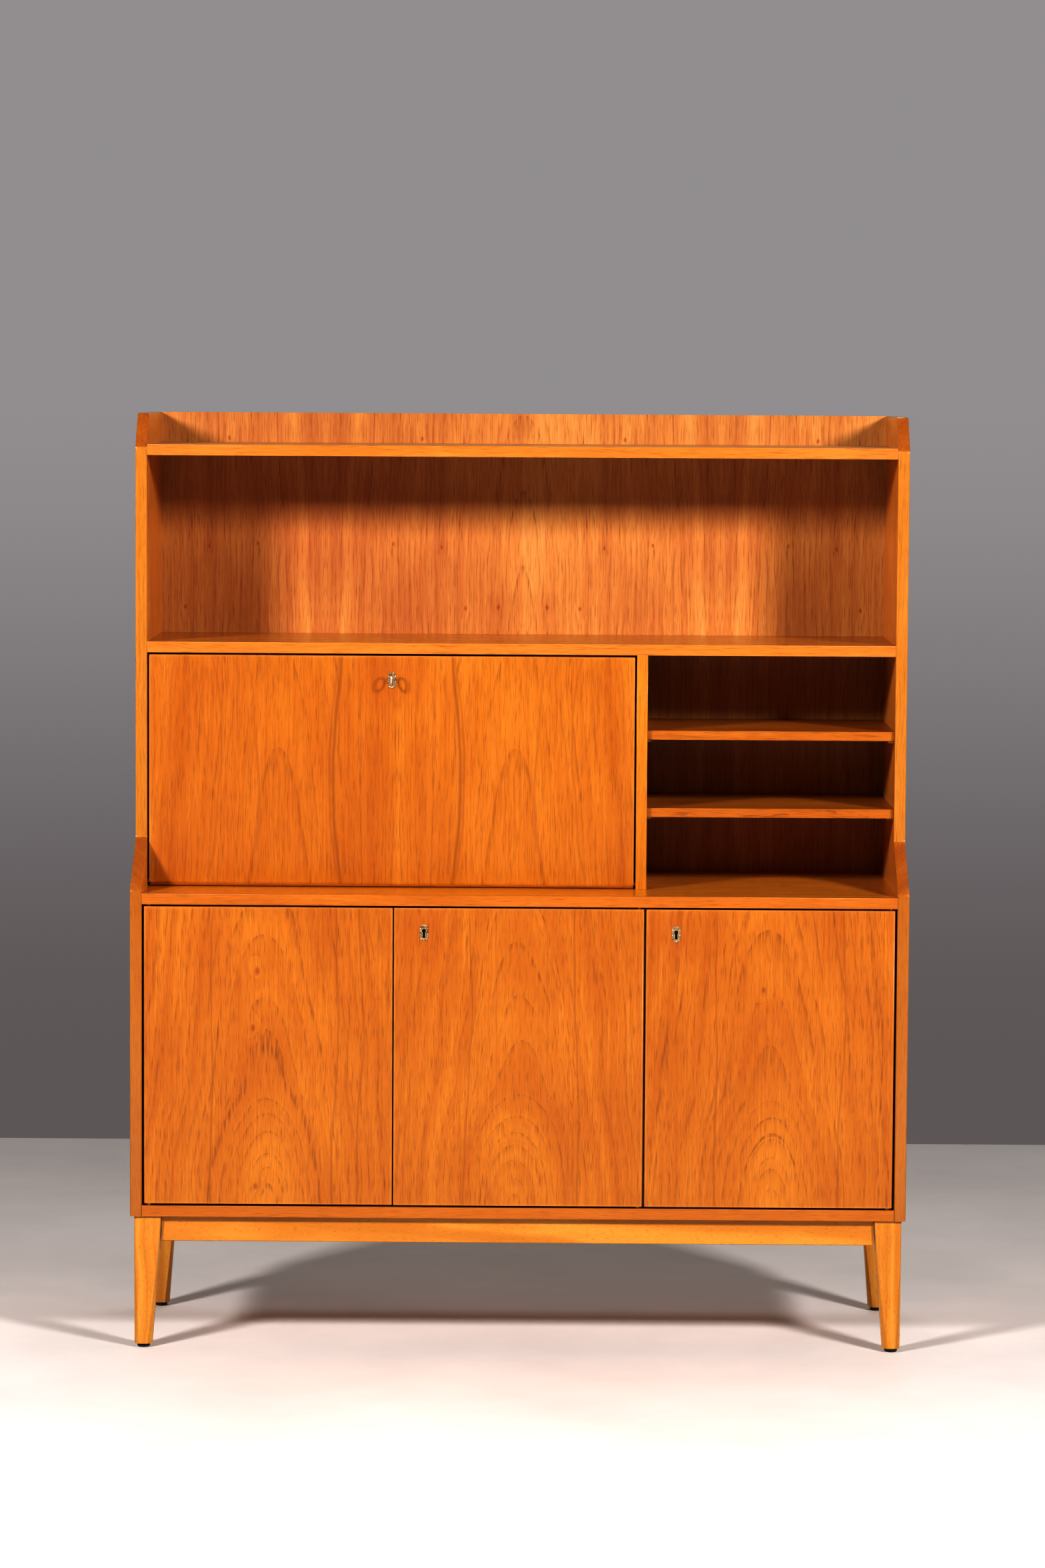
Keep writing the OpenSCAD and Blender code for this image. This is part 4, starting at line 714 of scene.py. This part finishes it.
for name, x, y, z, body in (("flap_escutcheon", -201, -93, 1037, "flap"),
                            ("door_2_escutcheon", -146.9, -198, 654.5, "door_2"),
                            ("door_3_escutcheon", 241.6, -198, 654.5, "door_3")):
    x, y, z = x * MM, y * MM, z * MM
    bm = bmesh.new()
    border = bmesh.ops.create_circle(bm, cap_ends=False, radius=1.0, segments=48)["verts"]
    bmesh.ops.rotate(bm, verts=border, cent=(0, 0, 0), matrix=Matrix.Rotation(math.pi / 2, 3, "X"))
    for vert in border:
        # An oblong with soft corners, its edge scalloped sixteen times
        angle = math.atan2(vert.co.z, vert.co.x)
        reach = oblong(angle)
        lobe = 1.0 + 0.035 * math.cos(16 * angle)
        vert.co = (math.cos(angle) * reach * 6.7 * MM * lobe, 0, math.sin(angle) * reach * 12.4 * MM * lobe)
    bmesh.ops.translate(bm, vec=(x, y, z - 3 * MM), verts=border)
    outside = list({e for v in border for e in v.link_edges})
    hole = keyhole_ring(bm, x, y, z)
    bmesh.ops.triangle_fill(bm, edges=outside + hole, use_beauty=True, use_dissolve=False)
    spare = [f for f in bm.faces if abs(f.calc_center_median().x - x) < 2.9 * MM
             and all((v.co - Vector((x, y, z - 4 * MM))).length < 9.5 * MM and v not in border
                     for v in f.verts)]
    bmesh.ops.delete(bm, geom=spare, context="FACES_ONLY")
    pull(bm, bm.faces[:], (0, -plate_thick, 0))
    # The rim: the keyhole's outline widened by 1.3 mm and raised
    inner = keyhole_ring(bm, x, y - plate_thick, z, -0.05 * MM)
    outer = keyhole_ring(bm, x, y - plate_thick, z, 1.3 * MM)
    ring_faces = bmesh.ops.bridge_loops(bm, edges=inner + outer)["faces"]
    raised = pull(bm, ring_faces, (0, -0.5 * MM, 0))
    for face in set(ring_faces) | {g for g in raised if isinstance(g, bmesh.types.BMFace)}:
        if face.is_valid:
            face.material_index = 1
    for index in range(18):
        # Beads round the border
        angle = math.tau * (index + 0.5) / 18
        reach = oblong(angle)
        bead = bmesh.ops.create_uvsphere(bm, u_segments=10, v_segments=6, radius=0.85 * MM)["verts"]
        bmesh.ops.scale(bm, vec=(1, 0.6, 1.25), verts=bead)
        bmesh.ops.translate(bm, verts=bead, vec=(x + math.cos(angle) * reach * 5.7 * MM, y - 0.65 * MM,
                                                 z - 3 * MM + math.sin(angle) * reach * 11.3 * MM))
        for face in {f for v in bead for f in v.link_faces}:
            face.material_index = 1 if index % 2 else 0
            face.smooth = True
    make_piece(name + "_cast", bm, [plate_brass, rim_brass], body, "aged_brass", name)


# ---- Key ----
# A small nickel plated steel key with a ring bow, a turned collar and a flat bit. It stands in
# the flap's lock and turns there about its shaft.
nickel = metal("nickel plated steel", "#F2EFEA", "#CFC8C0", 0.24)
kx, kz = -201 * MM, 1037 * MM
bm = bmesh.new()
wire = bmesh.ops.create_circle(bm, cap_ends=False, radius=1.6 * MM, segments=14)["verts"]
bmesh.ops.rotate(bm, verts=wire, cent=(0, 0, 0), matrix=Matrix.Rotation(math.pi / 2, 3, "Y"))
bmesh.ops.rotate(bm, verts=wire, cent=(0, 0, 0), matrix=Matrix.Rotation(math.pi / 2, 3, "Z"))
bmesh.ops.translate(bm, vec=(kx, -115 * MM, kz + 9.5 * MM), verts=wire)
bmesh.ops.spin(bm, geom=wire + list({e for v in wire for e in v.link_edges}), cent=(kx, -115 * MM, kz),
               axis=(1, 0, 0), angle=math.tau, steps=40, use_merge=True)
# Shaft, collar and tip as one turned outline along Y
outline = [(0, -106.4), (2.2, -106.2), (2.2, -102.2), (3.0, -101.9), (3.2, -101.2), (3.2, -99.8),
           (3.0, -99.1), (2.2, -98.8), (2.2, -65.4), (1.9, -65.0), (1.5, -65.0), (1.5, -63.6), (0, -63.5)]
line = [bm.verts.new((kx + r * MM, y * MM, kz)) for r, y in outline]
strip = [bm.edges.new(pair) for pair in zip(line, line[1:])]
bmesh.ops.spin(bm, geom=line + strip, cent=(kx, 0, kz), axis=(0, 1, 0), angle=math.tau, steps=28,
               use_merge=True)
bmesh.ops.remove_doubles(bm, verts=bm.verts[:], dist=1e-7)
block(bm, (2 * MM, 9 * MM, 6.5 * MM), (kx, -70.5 * MM, kz - 4.25 * MM))
for face in bm.faces:
    face.smooth = len(face.verts) < 5 and face.calc_area() < 2e-5
make_piece("flap_key_turned", bm, [nickel], "flap_key", "nickel", "flap_key")


# ---- Room ----
# A pale painted floor that runs back to a grey backdrop, lit by two square soft lights that
# stand high on the left and on the right, with a weak one behind for the back of the desk.
bm = bmesh.new()
bmesh.ops.create_grid(bm, x_segments=8, y_segments=8, size=1.0)
bmesh.ops.scale(bm, vec=(7.0, 5.0, 1.0), verts=bm.verts[:])
bmesh.ops.translate(bm, vec=(0, -3.135, 0), verts=bm.verts[:])
mesh = bpy.data.meshes.new("floor")
bm.to_mesh(mesh)
bm.free()
floor = bpy.data.objects.new("floor", mesh)
bpy.context.scene.collection.objects.link(floor)
material, tree = new_material("matt floor paint")
spot = add(tree, "TexCoord").outputs["Object"]
worn = add(tree, "TexNoise", None, Vector=spot, Scale=1.6, Detail=6.0, Roughness=0.6)
tint = add(tree, "Mix", {"data_type": "RGBA"}, _0=add(tree, "MapRange", None, _0=worn, _1=0.35, _2=0.7),
           _6=paint("#EBE8E9"), _7=paint("#DEDBDC"))
shader = add(tree, "BsdfPrincipled", None, Base_Color=tint, Roughness=0.6, IOR=1.5, Specular_IOR_Level=0.2)
add(tree, "OutputMaterial", None, Surface=shader)
mesh.materials.append(material)

world = bpy.data.worlds.new("backdrop")
world.use_nodes = True
tree = world.node_tree
tree.nodes.clear()
height = add(tree, "SeparateXYZ", _0=add(tree, "TexCoord").outputs["Generated"])
# The backdrop that the camera sees is painted darker below the horizon: painted shade on the lower wall
painted_wall_shade = add(tree, "MapRange", {"interpolation_type": "SMOOTHSTEP"}, _0=height.outputs["Z"], _1=-0.14,
              _2=0.0)
wall = add(tree, "Mix", {"data_type": "RGBA"}, _0=painted_wall_shade, _6=paint("#888283"), _7=paint("#B4B1B3"))
seen = add(tree, "Background", None, Color=wall, Strength=1.0)
# The grey wall behind the desk throws light forwards; the studio in front of it is dark
behind = add(tree, "MapRange", {"interpolation_type": "SMOOTHSTEP"}, _0=height.outputs["Y"], _1=-0.2, _2=0.6,
             _3=0.018, _4=0.48)
fill = add(tree, "Background", None, Color=paint("#FFF9F4"), Strength=behind)
mixed = add(tree, "MixShader", None, _0=add(tree, "LightPath").outputs["Is Camera Ray"], _1=fill, _2=seen)
add(tree, "OutputWorld", None, Surface=mixed)
bpy.context.scene.world = world

for name, place, power, size in (("left soft light", (-2.6, -3.16, 2.5), 212.0, 0.6),
                                 ("right soft light", (2.6, -3.16, 2.5), 212.0, 0.6),
                                 ("back soft light", (0.3, 1.7, 3.6), 21.0, 1.0)):
    lamp = bpy.data.lights.new(name, "AREA")
    lamp.shape = "SQUARE"
    lamp.size = size
    lamp.energy = power
    lamp.color = (1.0, 0.965, 0.93)
    light = bpy.data.objects.new(name, lamp)
    light.visible_camera = False
    bpy.context.scene.collection.objects.link(light)
    light.location = place
    light.rotation_mode = "QUATERNION"
    light.rotation_quaternion = (Vector((0, 0, 0.75)) - Vector(place)).to_track_quat("-Z", "Y")
